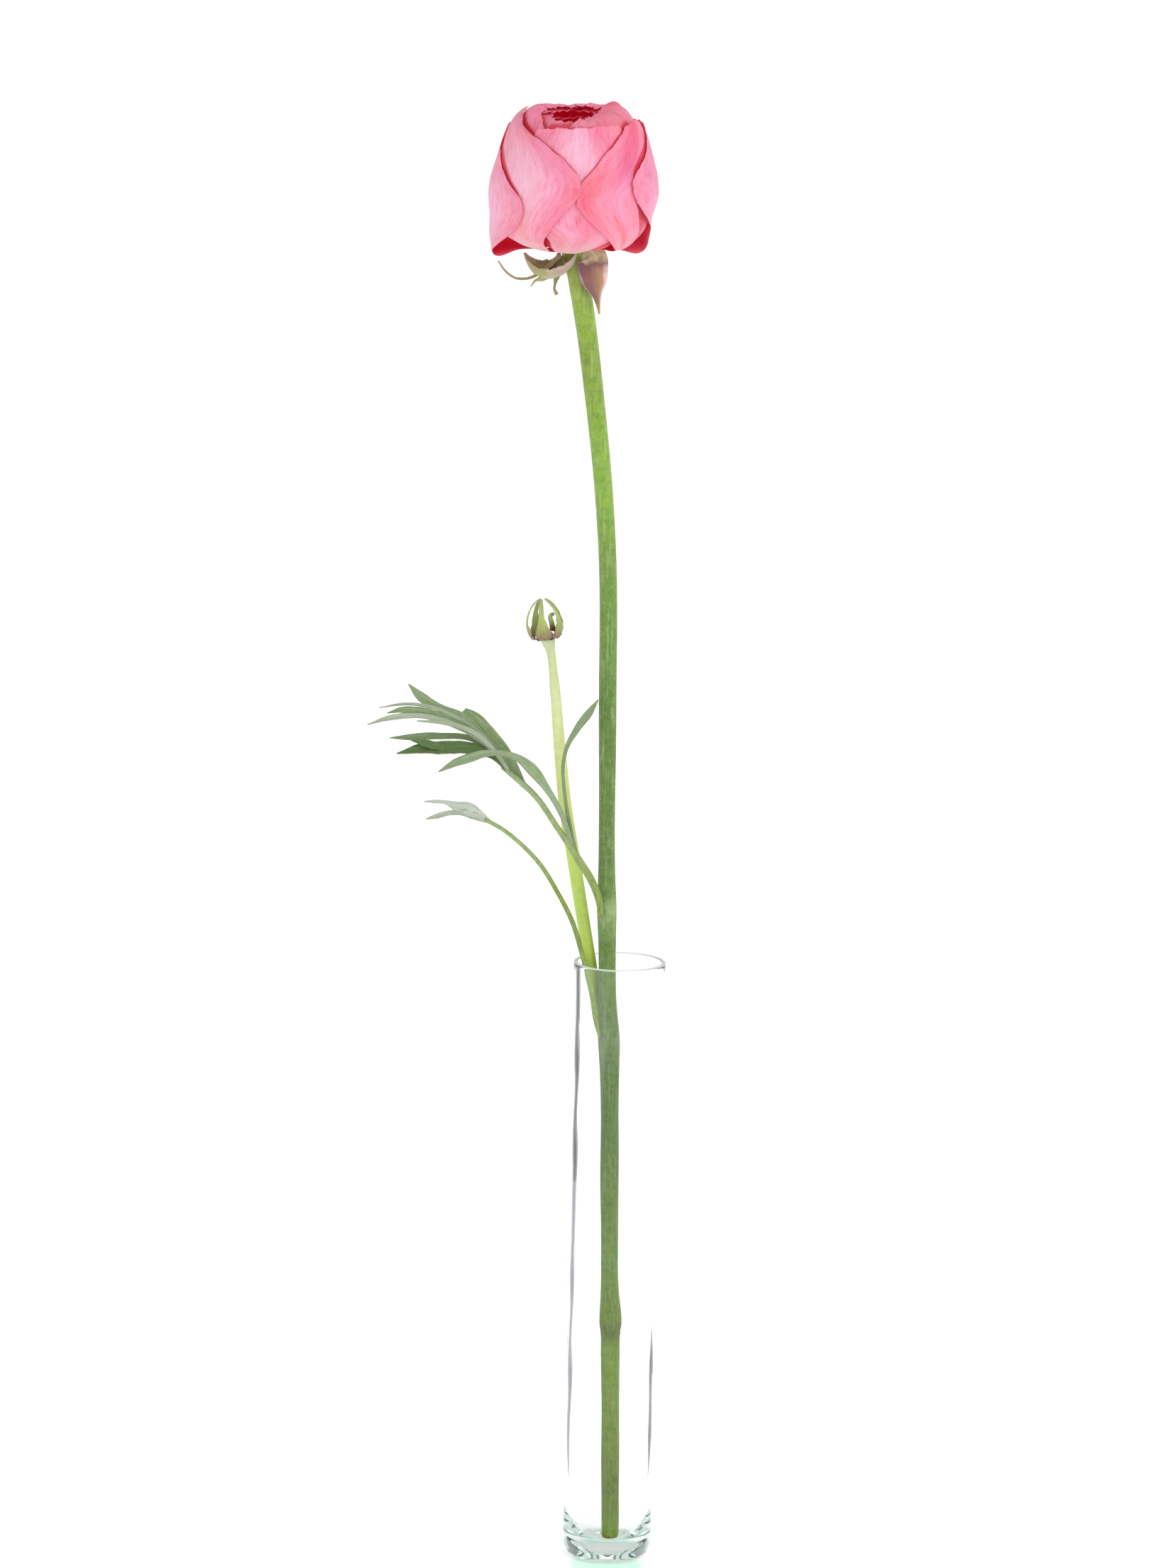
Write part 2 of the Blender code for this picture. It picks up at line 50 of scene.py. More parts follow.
def addNode(tree, kind, settings=None, links=None):
    # settings go to sockets where the name is one, else to the node; "stops" fills a colour ramp
    node = tree.nodes.new(kind)
    for key, value in (settings or {}).items():
        if key == "stops":
            ramp = node.color_ramp
            while len(ramp.elements) < len(value):
                ramp.elements.new(0.5)
            for element, (place, colour) in zip(ramp.elements, value):
                element.position = place
                element.color = linear(colour) if isinstance(colour, str) else (colour, colour, colour, 1.0)
        elif isinstance(key, int) or key in node.inputs:
            node.inputs[key].default_value = value
        else:
            setattr(node, key, value)
    for key, source in (links or {}).items():
        tree.links.new(source, node.inputs[key])
    return node


def newMaterial(name):
    material = bpy.data.materials.new(name)
    material.use_nodes = True
    tree = material.node_tree
    tree.nodes.clear()
    return material, tree


def finishMaterial(tree, settings, links=None):
    shader = addNode(tree, "ShaderNodeBsdfPrincipled", settings, links)
    addNode(tree, "ShaderNodeOutputMaterial", None, {"Surface": shader.outputs[0]})


def stretchedNoise(tree, place, scale, settings):
    # noise drawn out along one way, such as veins and fibres
    laid = addNode(tree, "ShaderNodeMapping", {"Scale": scale}, {"Vector": place})
    return addNode(tree, "ShaderNodeTexNoise", {"Scale": 1.0, **settings}, {"Vector": laid.outputs[0]})


def fromMiddle(tree, sides):
    # 0 along the middle of a blade and 0.5 at its margins
    offCentre = addNode(tree, "ShaderNodeMath", {"operation": "SUBTRACT", 1: 0.5}, {0: sides.outputs["X"]})
    return addNode(tree, "ShaderNodeMath", {"operation": "ABSOLUTE"}, {0: offCentre.outputs[0]})


def smoothStep(low, high, value):
    share = np.clip((np.asarray(value, dtype=float) - low) / (high - low), 0, 1)
    return share * share * (3 - 2 * share)


def ripple(place, seed, pitch, octaves=3):
    # an irregular wave along a line, from about -1 to 1, with crests about `pitch` apart
    random = np.random.default_rng(seed)
    total = 0
    for octave in range(octaves):
        turns = 2 * math.pi / pitch * 1.9**octave * random.uniform(0.85, 1.15)
        total = total + np.sin(turns * place + random.uniform(0, 6.28)) / 1.6**octave
    return total / 1.8


def swell(x, y, seed, pitch):
    # soft hollows and bulges over a surface, from about -1 to 1
    random = np.random.default_rng(seed)
    waves = 6
    total = 0
    for _ in range(waves):
        angle = random.uniform(0, 2 * math.pi)
        turns = 2 * math.pi / (pitch * random.uniform(0.6, 1.6))
        total = total + np.sin(turns * (x * math.cos(angle) + y * math.sin(angle)) + random.uniform(0, 6.28))
    return total / waves**0.5 / 1.4


def smoothLine(rows, count):
    # rows of numbers, the first three a point, read at even steps along a smooth curve through them
    rows = np.array(rows, dtype=float)
    knots = np.concatenate([[0], np.cumsum(np.linalg.norm(np.diff(rows[:, :3], axis=0), axis=1))])
    slopes = np.gradient(rows, knots, axis=0)
    at = np.linspace(0, knots[-1], count)
    i = np.clip(np.searchsorted(knots, at, side="right") - 1, 0, len(knots) - 2)
    step = (knots[i + 1] - knots[i])[:, None]
    u = (at - knots[i])[:, None] / step
    return ((2 * u**3 - 3 * u**2 + 1) * rows[i] + (u**3 - 2 * u**2 + u) * step * slopes[i]
            + (3 * u**2 - 2 * u**3) * rows[i + 1] + (u**3 - u**2) * step * slopes[i + 1])


curveShares = np.linspace(0, 1, 241)  # even steps from the start of a curve, at 0, to its end, at 1
keyBlur = 7  # steps to each side over which the corner at a key is rounded off


def readKeys(keys, column, at):
    # a column of listed keys against their first number, with its corners rounded off
    line = np.interp(curveShares, [key[0] for key in keys], [key[column] for key in keys])
    soft = np.hanning(2 * keyBlur + 1)
    line = np.convolve(np.pad(line, keyBlur, mode="edge"), soft / soft.sum(), "valid")
    return np.interp(at, curveShares, line)


def makePiece(name, points, faces, materials, faceMaterials=None, uv=None, values=None):
    mesh = bpy.data.meshes.new(name)
    mesh.from_pydata((np.asarray(points) * mm).tolist(), [], faces)
    for material in materials:
        mesh.materials.append(material)
    if faceMaterials is not None:
        mesh.polygons.foreach_set("material_index", np.asarray(faceMaterials, dtype=np.int32))
    if uv is not None:
        corners = np.empty(len(mesh.loops), dtype=np.int32)
        mesh.loops.foreach_get("vertex_index", corners)
        layer = mesh.uv_layers.new(name="UVMap")
        layer.data.foreach_set("uv", np.asarray(uv, dtype=np.float32)[corners].ravel())
    for key, numbers in (values or {}).items():
        layer = mesh.attributes.new(key, "FLOAT", "POINT")
        layer.data.foreach_set("value", np.asarray(numbers, dtype=np.float32))
    mesh.shade_smooth()
    mesh.update()
    piece = bpy.data.objects.new(name, mesh)
    bpy.context.scene.collection.objects.link(piece)
    return piece


def gridNormals(grid):
    ahead = np.gradient(grid, axis=0)
    aside = np.gradient(grid, axis=1)
    normal = np.cross(aside, ahead)
    return normal / np.maximum(np.linalg.norm(normal, axis=2, keepdims=True), 1e-9)


def sheetParts(grid, thickness, uv, values=None):
    # a closed thin body round a grid of middle points; its face looks the way of gridNormals
    rows, columns = grid.shape[:2]
    push = gridNormals(grid) * np.broadcast_to(thickness, (rows, columns))[:, :, None] / 2
    points = np.concatenate([(grid + push).reshape(-1, 3), (grid - push).reshape(-1, 3)])
    shift = rows * columns
    index = np.arange(shift).reshape(rows, columns)
    a, b, c, d = index[:-1, :-1].ravel(), index[:-1, 1:].ravel(), index[1:, 1:].ravel(), index[1:,
                                                                                               :-1].ravel()
    face = np.stack([a, b, c, d], axis=1)
    back = np.stack([a, d, c, b], axis=1) + shift
    rim = np.concatenate([index[0, :], index[1:, -1], index[-1, -2::-1], index[-2:0:-1, 0]])
    after = np.roll(rim, -1)
    edge = np.stack([rim, rim + shift, after + shift, after], axis=1)
    faces = np.concatenate([face, back, edge]).tolist()
    sides = np.concatenate([np.zeros(len(face)), np.ones(len(back)), np.zeros(len(edge))])
    flat = uv.reshape(-1, 2)
    doubled = {key: np.concatenate([v.ravel(), v.ravel()]) for key, v in (values or {}).items()}
    return points, faces, sides, np.concatenate([flat, flat]), doubled


def joinParts(parts):
    # several (points, faces, sides, uv, values) as one
    points, faces, sides, uv, values = [], [], [], [], {}
    start = 0
    for part in parts:
        points.append(part[0])
        faces += [[i + start for i in face] for face in part[1]]
        sides.append(part[2])
        uv.append(part[3])
        for key, numbers in part[4].items():
            values.setdefault(key, []).append(numbers)
        start += len(part[0])
    return (np.concatenate(points), faces, np.concatenate(sides), np.concatenate(uv),
            {key: np.concatenate(v) for key, v in values.items()})


def ringFaces(rings, sides, bottom, top):
    # the faces of a round body from ring to ring, closed at its ends on the points bottom and top
    faces = []
    for row in range(rings - 1):
        for i in range(sides):
            j = (i + 1) % sides
            faces.append([row * sides + i, row * sides + j, (row + 1) * sides + j, (row + 1) * sides + i])
    last = (rings - 1) * sides
    for i in range(sides):
        j = (i + 1) % sides
        faces.append([j, i, bottom])
        faces.append([last + i, last + j, top])
    return faces


def tubeParts(line, sides, shape=None):
    # a closed round body along rows of (x, y, z, radius); shape(angle, share) scales the radius
    centres, radii = line[:, :3], line[:, 3]
    along = np.gradient(centres, axis=0)
    along /= np.linalg.norm(along, axis=1)[:, None]
    angles = np.linspace(0, 2 * math.pi, sides, endpoint=False)
    side = np.array([1.0, 0, 0])
    points = []
    for k, (centre, way) in enumerate(zip(centres, along)):
        side = side - way * side.dot(way)
        side /= np.linalg.norm(side)
        other = np.cross(way, side)
        scale = radii[k] * (shape(angles, k / (len(centres) - 1)) if shape else np.ones(sides))
        points.append(centre + scale[:,
                                     None] * (np.cos(angles)[:, None] * side + np.sin(angles)[:,
                                                                                              None] * other))
    cutEnd, roundEnd = 0.05, 0.4  # how far the ends stand out, in radii
    points = np.concatenate(points + [centres[:1] - along[:1] * radii[0] * cutEnd,
                                      centres[-1:] + along[-1:] * radii[-1] * roundEnd])
    faces = ringFaces(len(centres), sides, len(points) - 2, len(points) - 1)
    share = np.repeat(np.linspace(0, 1, len(centres)), sides)
    around = np.tile(angles / (2 * math.pi), len(centres))
    uv = np.concatenate([np.stack([around, share], axis=1), [[0.5, 0.0], [0.5, 1.0]]])
    return points, faces, np.zeros(len(faces)), uv, {}


def finePiece(name, part, materials):
    points, faces, sides, uv, values = part
    return makePiece(name, points, faces, materials, sides if len(materials) > 1 else None, uv, values)


def ridePiece(piece, nodes):
    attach(piece, "root")
    if nodes:
        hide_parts(*nodes)
    return piece


studio = {
    "cameraPlace": (0.0, -2.6, 0.7198), "lens": 219.9, "pitch": 10.885, "yaw": -0.218, "roll": 1.261,
    "floorColour": "#ffffff", "poolLightTint": "#d0f3e1", "floorGlow": 0.4, "worldStrength": 0.75,
    "keyWatts": 8.4, "fillWatts": 1.4, "feltColours": ("#44464c", "#6a6e76", "#8c8f9a"), "glassBounces": 48,
    # the painted green pool of light in front of the foot, in metres: its middle, where it starts to fade and
    # ends, and how far from the vase's middle it begins
    "poolPlace": (0.0, -0.012, 0.0), "poolFades": (0.0085, 0.0125), "poolFrom": 0.0097,
    "keyPlace": (1.0, -1.15, 1.3), "fillPlace": (-1.2, -0.9, 0.8), "lampAim": (0, 0, 0.25),
}


def buildStudio():
    pitch, yaw, roll = (math.radians(studio[key]) for key in ("pitch", "yaw", "roll"))
    ahead = np.array([math.sin(yaw) * math.cos(pitch), math.cos(yaw) * math.cos(pitch), -math.sin(pitch)])
    right = np.cross(ahead, [0, 0, 1])
    right /= np.linalg.norm(right)
    up = np.cross(right, ahead)
    right, up = (math.cos(roll) * right + math.sin(roll) * up, -math.sin(roll) * right + math.cos(roll) * up)
    lens = bpy.data.cameras.new("camera")
    lens.lens = studio["lens"]
    lens.sensor_width = 36
    lens.clip_start, lens.clip_end = 0.05, 60
    camera = bpy.data.objects.new("camera", lens)
    turn = Matrix([[right[i], up[i], -ahead[i]] for i in range(3)]).to_4x4()
    camera.matrix_world = Matrix.Translation(studio["cameraPlace"]) @ turn
    bpy.context.scene.collection.objects.link(camera)
    bpy.context.scene.camera = camera
    bpy.context.scene.view_settings.view_transform = "Standard"

    white, tree = newMaterial("matt white studio paper with painted light pool")
    place = addNode(tree, "ShaderNodeTexCoord")
    away = addNode(tree, "ShaderNodeVectorMath", {"operation": "LENGTH"}, {0: place.outputs["Object"]})
    # painted light: a faint green pool is painted into the floor's colour and glow in front of the vase's
    # foot, standing in for light that has come through the foot
    front = addNode(tree, "ShaderNodeVectorMath", {"operation": "DISTANCE", 1: studio["poolPlace"]},
                    {0: place.outputs["Object"]})
    fadesFrom, fadesTo = studio["poolFades"]
    near = addNode(tree, "ShaderNodeMapRange", {"interpolation_type": "SMOOTHSTEP", "From Min": fadesFrom,
                                                "From Max": fadesTo, "To Min": 1.0, "To Max": 0.0},
                   {"Value": front.outputs["Value"]})
    clear = addNode(tree, "ShaderNodeMath", {"operation": "GREATER_THAN", 1: studio["poolFrom"]},
                    {0: away.outputs["Value"]})
    pool = addNode(tree, "ShaderNodeMath", {"operation": "MULTIPLY"},
                   {0: near.outputs[0], 1: clear.outputs[0]})
    floorWithPaintedPool = addNode(tree, "ShaderNodeMix",
                     {"data_type": "RGBA", 6: linear(studio["floorColour"]), 7: linear(studio["poolLightTint"])},
                     {0: pool.outputs[0]})
    finishMaterial(tree, {"Roughness": 0.9, "Specular IOR Level": 0.1,
                          "Emission Strength": studio["floorGlow"]},
                   {"Base Color": floorWithPaintedPool.outputs[2], "Emission Color": floorWithPaintedPool.outputs[2]})
    half = 12.0 / mm
    floor = makePiece("floor", [(-half, -half, 0), (half, -half, 0), (half, half, 0), (-half, half, 0)],
                      [(0, 1, 2, 3)], [white])

    # grey boards that only the glass sees: those behind it draw dark lines down its walls, and a card on the
    # floor in front keeps white off the stem behind the glass
    dark, middle, light = [newMaterial(name) for name in ("dark grey felt", "grey felt", "light grey felt")]
    for (_, tree), colour in zip((dark, middle, light), studio["feltColours"]):
        finishMaterial(tree, {"Base Color": linear(colour), "Roughness": 1.0, "Specular IOR Level": 0.0})
    boards = [
        ("board_left", dark, "transmission", [(-72, 45, 90), (-37, 74, 90), (-37, 74, 200), (-72, 45, 200)]),
        ("board_low", light, "transmission", [(-68, 50, 0), (-39, 72, 16), (-37, 74, 90), (-72, 45, 90)]),
        ("board_right", middle, "transmission", [(68, 50, 0), (39, 72, 14), (39, 72, 34), (68, 50, 50)]),
        ("card_front", dark, "glossy", [(-350, -1700, 1), (350, -1700, 1), (350, -14, 1), (-350, -14, 1)]),
    ]
    for name, felt, seen, corners in boards:
        board = makePiece(name, corners, [(0, 1, 2, 3)], [felt[0]])
        for ray in ("camera", "diffuse", "glossy", "transmission", "shadow", "volume_scatter"):
            setattr(board, "visible_" + ray, ray == seen)
    # light turns back many times inside the thick glass before it leaves
    for key in ("max_bounces", "transmission_bounces", "glossy_bounces"):
        setattr(bpy.context.scene.cycles, key, studio["glassBounces"])

    world = bpy.data.worlds.new("studio")
    bpy.context.scene.world = world
    world.use_nodes = True
    tree = world.node_tree
    tree.nodes.clear()
    back = addNode(tree, "ShaderNodeBackground",
                   {"Color": linear("#ffffff"), "Strength": studio["worldStrength"]})
    addNode(tree, "ShaderNodeOutputWorld", None, {"Surface": back.outputs[0]})

    lamps = [("key", studio["keyPlace"], 1.0, studio["keyWatts"]),
             ("fill", studio["fillPlace"], 1.2, studio["fillWatts"])]
    for name, place, size, watts in lamps:
        lamp = bpy.data.lights.new(name, "AREA")
        lamp.shape, lamp.size, lamp.energy = "DISK", size, watts
        holder = bpy.data.objects.new(name, lamp)
        move, goal = Matrix.Translation(place), Matrix.Translation(studio["lampAim"])
        aim = move.to_translation() - goal.to_translation()
        holder.matrix_world = move @ aim.to_track_quat("Z", "Y").to_matrix().to_4x4()
        bpy.context.scene.collection.objects.link(holder)
    print("studio ready")


head = {
    "base": (-17.0, 1.7, 369.5), "nod": 6.0,
    "outer": [(4.4, 0.3), (8, -0.7), (13, -0.9), (18, 0.3), (21.2, 3.2), (22.9, 8), (23.2, 13.5), (22.4, 20),
              (20.5, 27), (18.0, 33.5), (16.3, 38)],
    "middle": [(2.6, 9.6), (4.2, 8.8), (6.0, 8.8), (8.2, 9.6), (9.6, 11.2), (10.4, 14), (10.7, 18),
               (10.5, 22.5), (9.8, 27.5), (8.8, 32.5), (7.6, 37)],
    "inner": [(1.9, 14), (2.4, 13.6), (3.0, 13.7), (3.5, 14.1), (3.8, 14.8), (4.0, 16), (4.1, 18),
              (4.0, 20.5), (3.8, 23), (3.5, 25.5), (3.0, 28)],
    "foldedTop": [(16.4, 30.5), (15.4, 34.2), (12.2, 36.9), (5.7, 37.3)],
    "foldedEnd": [(7.4, 34.5), (6.6, 35.8)], "middleAt": 0.67, "petals": 33, "fixedRow": 0.56, "turn": 137.5,
    "seed": 4, "sideRise": 1.5, "sink": 1.0, "thickness": 0.2, "rimThickness": 0.09,
    "peaks": {6: [(92, 0.5)], 7: [(-78, 0.9)], 8: [(110, 1.6)], 9: [(-118, 0.6)]},
    # a petal's length in millimetres, and the rows over which its margins come free of its neighbours
    "petalLength": 55, "freeRows": (0.35, 0.55),
    # painted crimson shade: a petal is painted crimson this far in under the next one, and in the strip seen
    # under a margin that stands off; this shade is only part as strong on the flower's back
    "crimsonShadeRamp": 0.8, "tuck": 0.5, "stripSlack": 0.25, "widestStrip": 1.2, "steepestView": 2.2,
    "stripRows": (0.36, 0.48), "backShadeShare": 0.3, "shadeFrontTurn": (-0.05, 0.45),
    # waves in a petal: how high, how far apart, and how angles and rows become lengths
    "marginWave": (0.4, 4.5), "crinklePitch": 6.5, "rufflePitch": 6,
    "sharedSwell": {"high": 0.35, "pitch": 16, "around": 14, "along": 45},
    "ownSwell": {"high": 0.05, "pitch": 7, "around": 18, "along": 50},
    # rows and columns of the petals' grids, up to the petal of each number
    "grids": [(8, 110, 90), (16, 60, 64), (33, 44, 40)],
}

# Outlines run from the claw, at 0, to the top, at 1, with the left and right margin in degrees from the
# front, to the right positive. "bulge" moves the whole petal out and up, and "hang" lowers the margin of the
# named side, both in millimetres against the row. "bulgeFades" takes the bulge off again towards the right
# margin, from the first place across to the second. "lift" holds the left and right margin off the petal
# below.
shownPetals = [
    {"depth": 0.0, "length": 0.875, "lift": (0.1, 0.2), "round": 0.1,
     "bulge": [(0, 0, 0), (0.21, 0, -0.3), (0.256, 1, -1.5), (0.3, 2.2, -3.6), (0.335, 1.6, -2.0),
               (0.38, 0.85, -0.6), (0.43, 0.1, 0), (1, 0, 0)],
     "hang": (1, [(0, 0), (0.16, -0.5), (0.22, 0), (0.26, 0.9), (0.31, 1.1), (0.35, 0), (1, 0)]), "outline": [
        (0, -112, -84), (0.12, -118, -80), (0.22, -130, -77), (0.28, -136, -77), (0.30, -140, -84),
        (0.312, -142, -90), (0.331, -144, -72), (0.349, -146, -65), (0.375, -148, -55), (0.409, -152, -47),
        (0.453, -156, -41), (0.49, -158, -38), (0.525, -160, -37), (0.572, -160, -38), (0.639, -158, -41),
        (0.702, -154, -48), (0.787, -146, -57), (0.861, -134, -67), (0.9, -128, -80), (1.0, -118, -84)]},
    {"depth": 0.012, "length": 0.90, "lift": (0.35, 0.1), "round": 0.08, "bulgeFades": (-0.45, 0.15),
     "bulge": [(0, 0, 0), (0.07, 0, -0.1), (0.16, 0, -0.5), (0.256, -0.3, -1.6), (0.3, 0.3, -1.7),
               (0.335, -0.6, -0.2), (0.38, -1.3, 0), (0.43, -1.4, 0.3), (0.5, -0.6, 0), (0.56, 0, 0),
               (1, 0, 0)],
     "hang": (-1, [(0, 0), (0.16, 0.1), (0.2, 0.6), (0.25, 1.4), (0.28, 1.6), (0.31, 0.9), (0.35, 0),
                   (1, 0)]),
     "outline": [
        (0, 96, 122), (0.1, 97, 126), (0.2, 97, 134), (0.28, 98, 142), (0.34, 95, 148), (0.378, 88, 152),
        (0.425, 73, 155), (0.481, 61, 159), (0.534, 52, 161), (0.578, 47.5, 161), (0.638, 45.5, 161),
        (0.693, 45, 160), (0.757, 45.5, 157), (0.807, 49, 153), (0.862, 58, 148), (0.907, 68, 144),
        (1.0, 78, 136)]},
    {"depth": 0.045, "length": 0.93, "lift": (0, 0), "round": 0.08,
     "bulge": [(0, 0, 0), (0.06, 0, -0.7), (0.25, 0, -0.8), (0.4, 0, 0), (1, 0, 0)], "outline": [
        (0, 160, 200), (0.15, 142, 218), (0.25, 126, 234), (0.35, 118, 242), (0.5, 116, 244),
        (0.65, 120, 240), (0.8, 126, 234), (1.0, 138, 222)]},
    {"depth": 0.03, "length": 0.985, "lift": (0, 0.25), "round": 0.01,
     "bulge": [(0, 0, 0), (0.1, 0, 0.8), (0.2, -0.4, 1.5), (0.28, -0.7, 1.3), (0.36, -0.3, 0.5), (0.45, 0, 0),
               (0.92, 0, 0), (0.96, -0.9, 0.2), (1, -3.2, 0.3)], "outline": [
        (0, -52, -26), (0.15, -56, -24), (0.29, -66, -22.6), (0.344, -70, -22.8), (0.376, -74, -22),
        (0.449, -80, -16), (0.528, -88, -8), (0.602, -94, 0.8), (0.639, -96, 4), (0.71, -97, 4.8),
        (0.752, -98, 1.2), (0.827, -99, -9.5), (0.87, -99, -20), (0.91, -100, -34), (0.95, -102, -54),
        (0.98, -104, -72), (1.0, -106, -84)]},
    {"depth": 0.05, "length": 0.955, "tilt": 0.005, "lift": (0.2, 0.3), "round": 0.02,
     "bulge": [(0, 0, 0), (0.1, 0, 1.2), (0.2, -0.5, 1.8), (0.26, -0.3, 0.8), (0.31, 0, 0), (1, 0, 0)],
     "outline": [
        (0, 28, 54), (0.15, 32, 50), (0.22, 36, 45), (0.283, 38, 42), (0.322, 33.6, 47), (0.35, 30, 51),
        (0.394, 25, 54), (0.461, 15.3, 52), (0.524, 6.8, 49.7), (0.573, 1.7, 48), (0.622, 1.5, 49),
        (0.67, 4, 60), (0.719, 4.9, 72), (0.79, 14.4, 83), (0.849, 21.3, 86), (0.933, 36.8, 84),
        (1.0, 52, 78)]},
    {"depth": 0.085, "length": 0.97, "tilt": 0.014, "lift": (0.1, 0.1), "round": 0.03,
     "bulge": [(0, 0, 0), (0.1, 0, 0.3), (0.2, -0.2, 0.6), (0.28, -0.2, 0.4), (0.36, 0, 0.1), (0.45, 0, 0),
               (1, 0, 0)], "outline": [
        (0, -14, 12), (0.12, -14, 6), (0.2, -16, -2), (0.242, -17, 4), (0.288, -18, 14), (0.335, -18, 22),
        (0.363, -18, 29), (0.4, -24, 40), (0.45, -40, 48), (0.6, -50, 55), (0.8, -52, 55), (1.0, -40, 48)]},
]
# Spots of colour on each shown petal: (row, across from -1 to 1, reach, lilac, deep). Lilac below 0 is coral.
petalTones = [[(0.55, 0.3, 0.25, 0.8, -0.3), (0.3, -0.2, 0.2, 0.8, -0.5), (0.85, 0.2, 0.25, 0.1, 0.4)],
              [(0.75, -0.6, 0.2, 0.2, 0.3), (0.5, -0.5, 0.25, 0.6, 0.2), (0.6, 0, 0.2, -0.4, 0.5)],
              [(0.6, 0, 0.4, 0.3, 0.1)],
              [(0.93, 0.2, 0.16, 0.2, 0.2), (0.62, 0.1, 0.26, 0.1, -0.9), (0.5, 0.8, 0.2, -0.2, 0.2),
               (0.36, 0.3, 0.14, -0.9, 0.1), (0.7, 0.75, 0.16, 0.1, 0.35)],
              [(0.9, 0, 0.2, 0.3, 1.4), (0.66, 0.3, 0.18, 0.6, -0.1), (0.6, -0.7, 0.2, -0.5, 0.9),
               (0.36, 0, 0.16, -0.7, 0.8), (0.5, 0.6, 0.14, -0.2, 0.4), (0.6, 0.1, 0.3, 0.2, 0.3)],
              [(0.85, 0, 0.2, 0.2, -0.7), (0.95, 0.4, 0.14, 0.1, 0.5), (0.42, 0.1, 0.16, -0.3, 0.8),
               (0.28, -0.6, 0.12, -0.6, 0.9)],]
# petals that fold over the top, outermost first
crownPetals = [{"depth": 0.13, "length": 0.99,
                "outline": [(0, 58, 86), (0.12, 56, 88), (0.22, 48, 96), (0.35, 32, 112), (0.5, 16, 124),
                            (0.65, 4, 130), (0.8, -4, 128), (0.9, -8, 126), (1.0, 4, 120)]},
               {"depth": 0.155, "length": 0.95,
                "outline": [(0, -86, -58), (0.12, -88, -56), (0.22, -96, -48), (0.35, -112, -32),
                            (0.5, -124, -20), (0.65, -128, -18), (0.8, -128, -24), (0.9, -128, -32),
                            (1.0, -122, -58)]},]
commonOutline = [(0, -14, 14), (0.12, -15, 15), (0.22, -24, 24), (0.35, -40, 40), (0.5, -52, 52),
                 (0.65, -56, 56), (0.8, -53, 53), (1.0, -44, 44)]
whorlMiddles = [144, -144]
# the front petal of the next turn sags into the gap between the outer petals' feet, where its painted crimson
# shade shows dark
saggingPetal = {"number": 11,
                "bulge": [(0, 0, 0), (0.1, 0, -1.2), (0.2, 0.8, -2.2), (0.26, 2.0, -2.7), (0.32, 2.0, -2.0),
                          (0.4, 0.8, -0.8), (0.48, 0, 0), (1, 0, 0)]}


def layerCurve(depth, folded):
    # (radius, height) from the claw to the top; folded layers end in over the flower's top
    outer, middle, inner = (np.array(head[key], dtype=float) for key in ("outer", "middle", "inner"))
    at = head["middleAt"]
    if depth < at:
        knots = outer + (middle - outer) * depth / at
        if folded:
            top = np.array(head["foldedTop"], dtype=float)
            low = np.array([*middle[-3:-1], *head["foldedEnd"]])
            knots = np.concatenate([knots[:-3], top + (low - top) * smoothStep(0.15, 1, depth / at)])
    else:
        knots = middle + (inner - middle) * (depth - at) / (1 - at)
    return smoothLine(np.column_stack([knots, np.zeros(len(knots))]), len(curveShares))[:, :2]


def headToWorld(points):
    nod = math.radians(head["nod"])
    turn = np.array([[1, 0, 0], [0, math.cos(nod), -math.sin(nod)], [0, math.sin(nod), math.cos(nod)]])
    return points @ turn.T + np.array(head["base"])


def petalPlans():
    plans = [dict(plan, folded=False, ruffle=0.12, crinkle=0.006) for plan in shownPetals]
    plans += [dict(plan, folded=True, ruffle=0.4, crinkle=0.009) for plan in crownPetals]
    middles = list(whorlMiddles)
    while len(plans) + len(middles) < head["petals"]:
        middles.append(36 + head["turn"] * (len(middles) + 2))
    for number, middle in enumerate(middles):
        outline = [(at, middle + left, middle + right) for at, left, right in commonOutline]
        depth = 0.19 + 0.81 * number / (len(middles) - 1)
        plans.append({"depth": depth, "length": 0.99, "outline": outline, "folded": True, "ruffle": 0.3,
                      "crinkle": 0.008, "sink": head["sink"] * ((number + 2) // 4)})
    plans[saggingPetal["number"]]["bulge"] = saggingPetal["bulge"]
    flat = [(0, 0, 0), (1, 0, 0)]
    for plan in plans:
        curve = layerCurve(plan["depth"], plan["folded"])
        curve[:, 1] -= plan.get("sink", 0) * smoothStep(0.7, 1.0, curveShares)
        for column in (0, 1):
            curve[:, column] += readKeys(plan.get("bulge", flat), column + 1, curveShares)
        plan.update(curve=curve, lift=plan.get("lift", (0.1, 0.1)), round=plan.get("round", 0.05))
    return plans


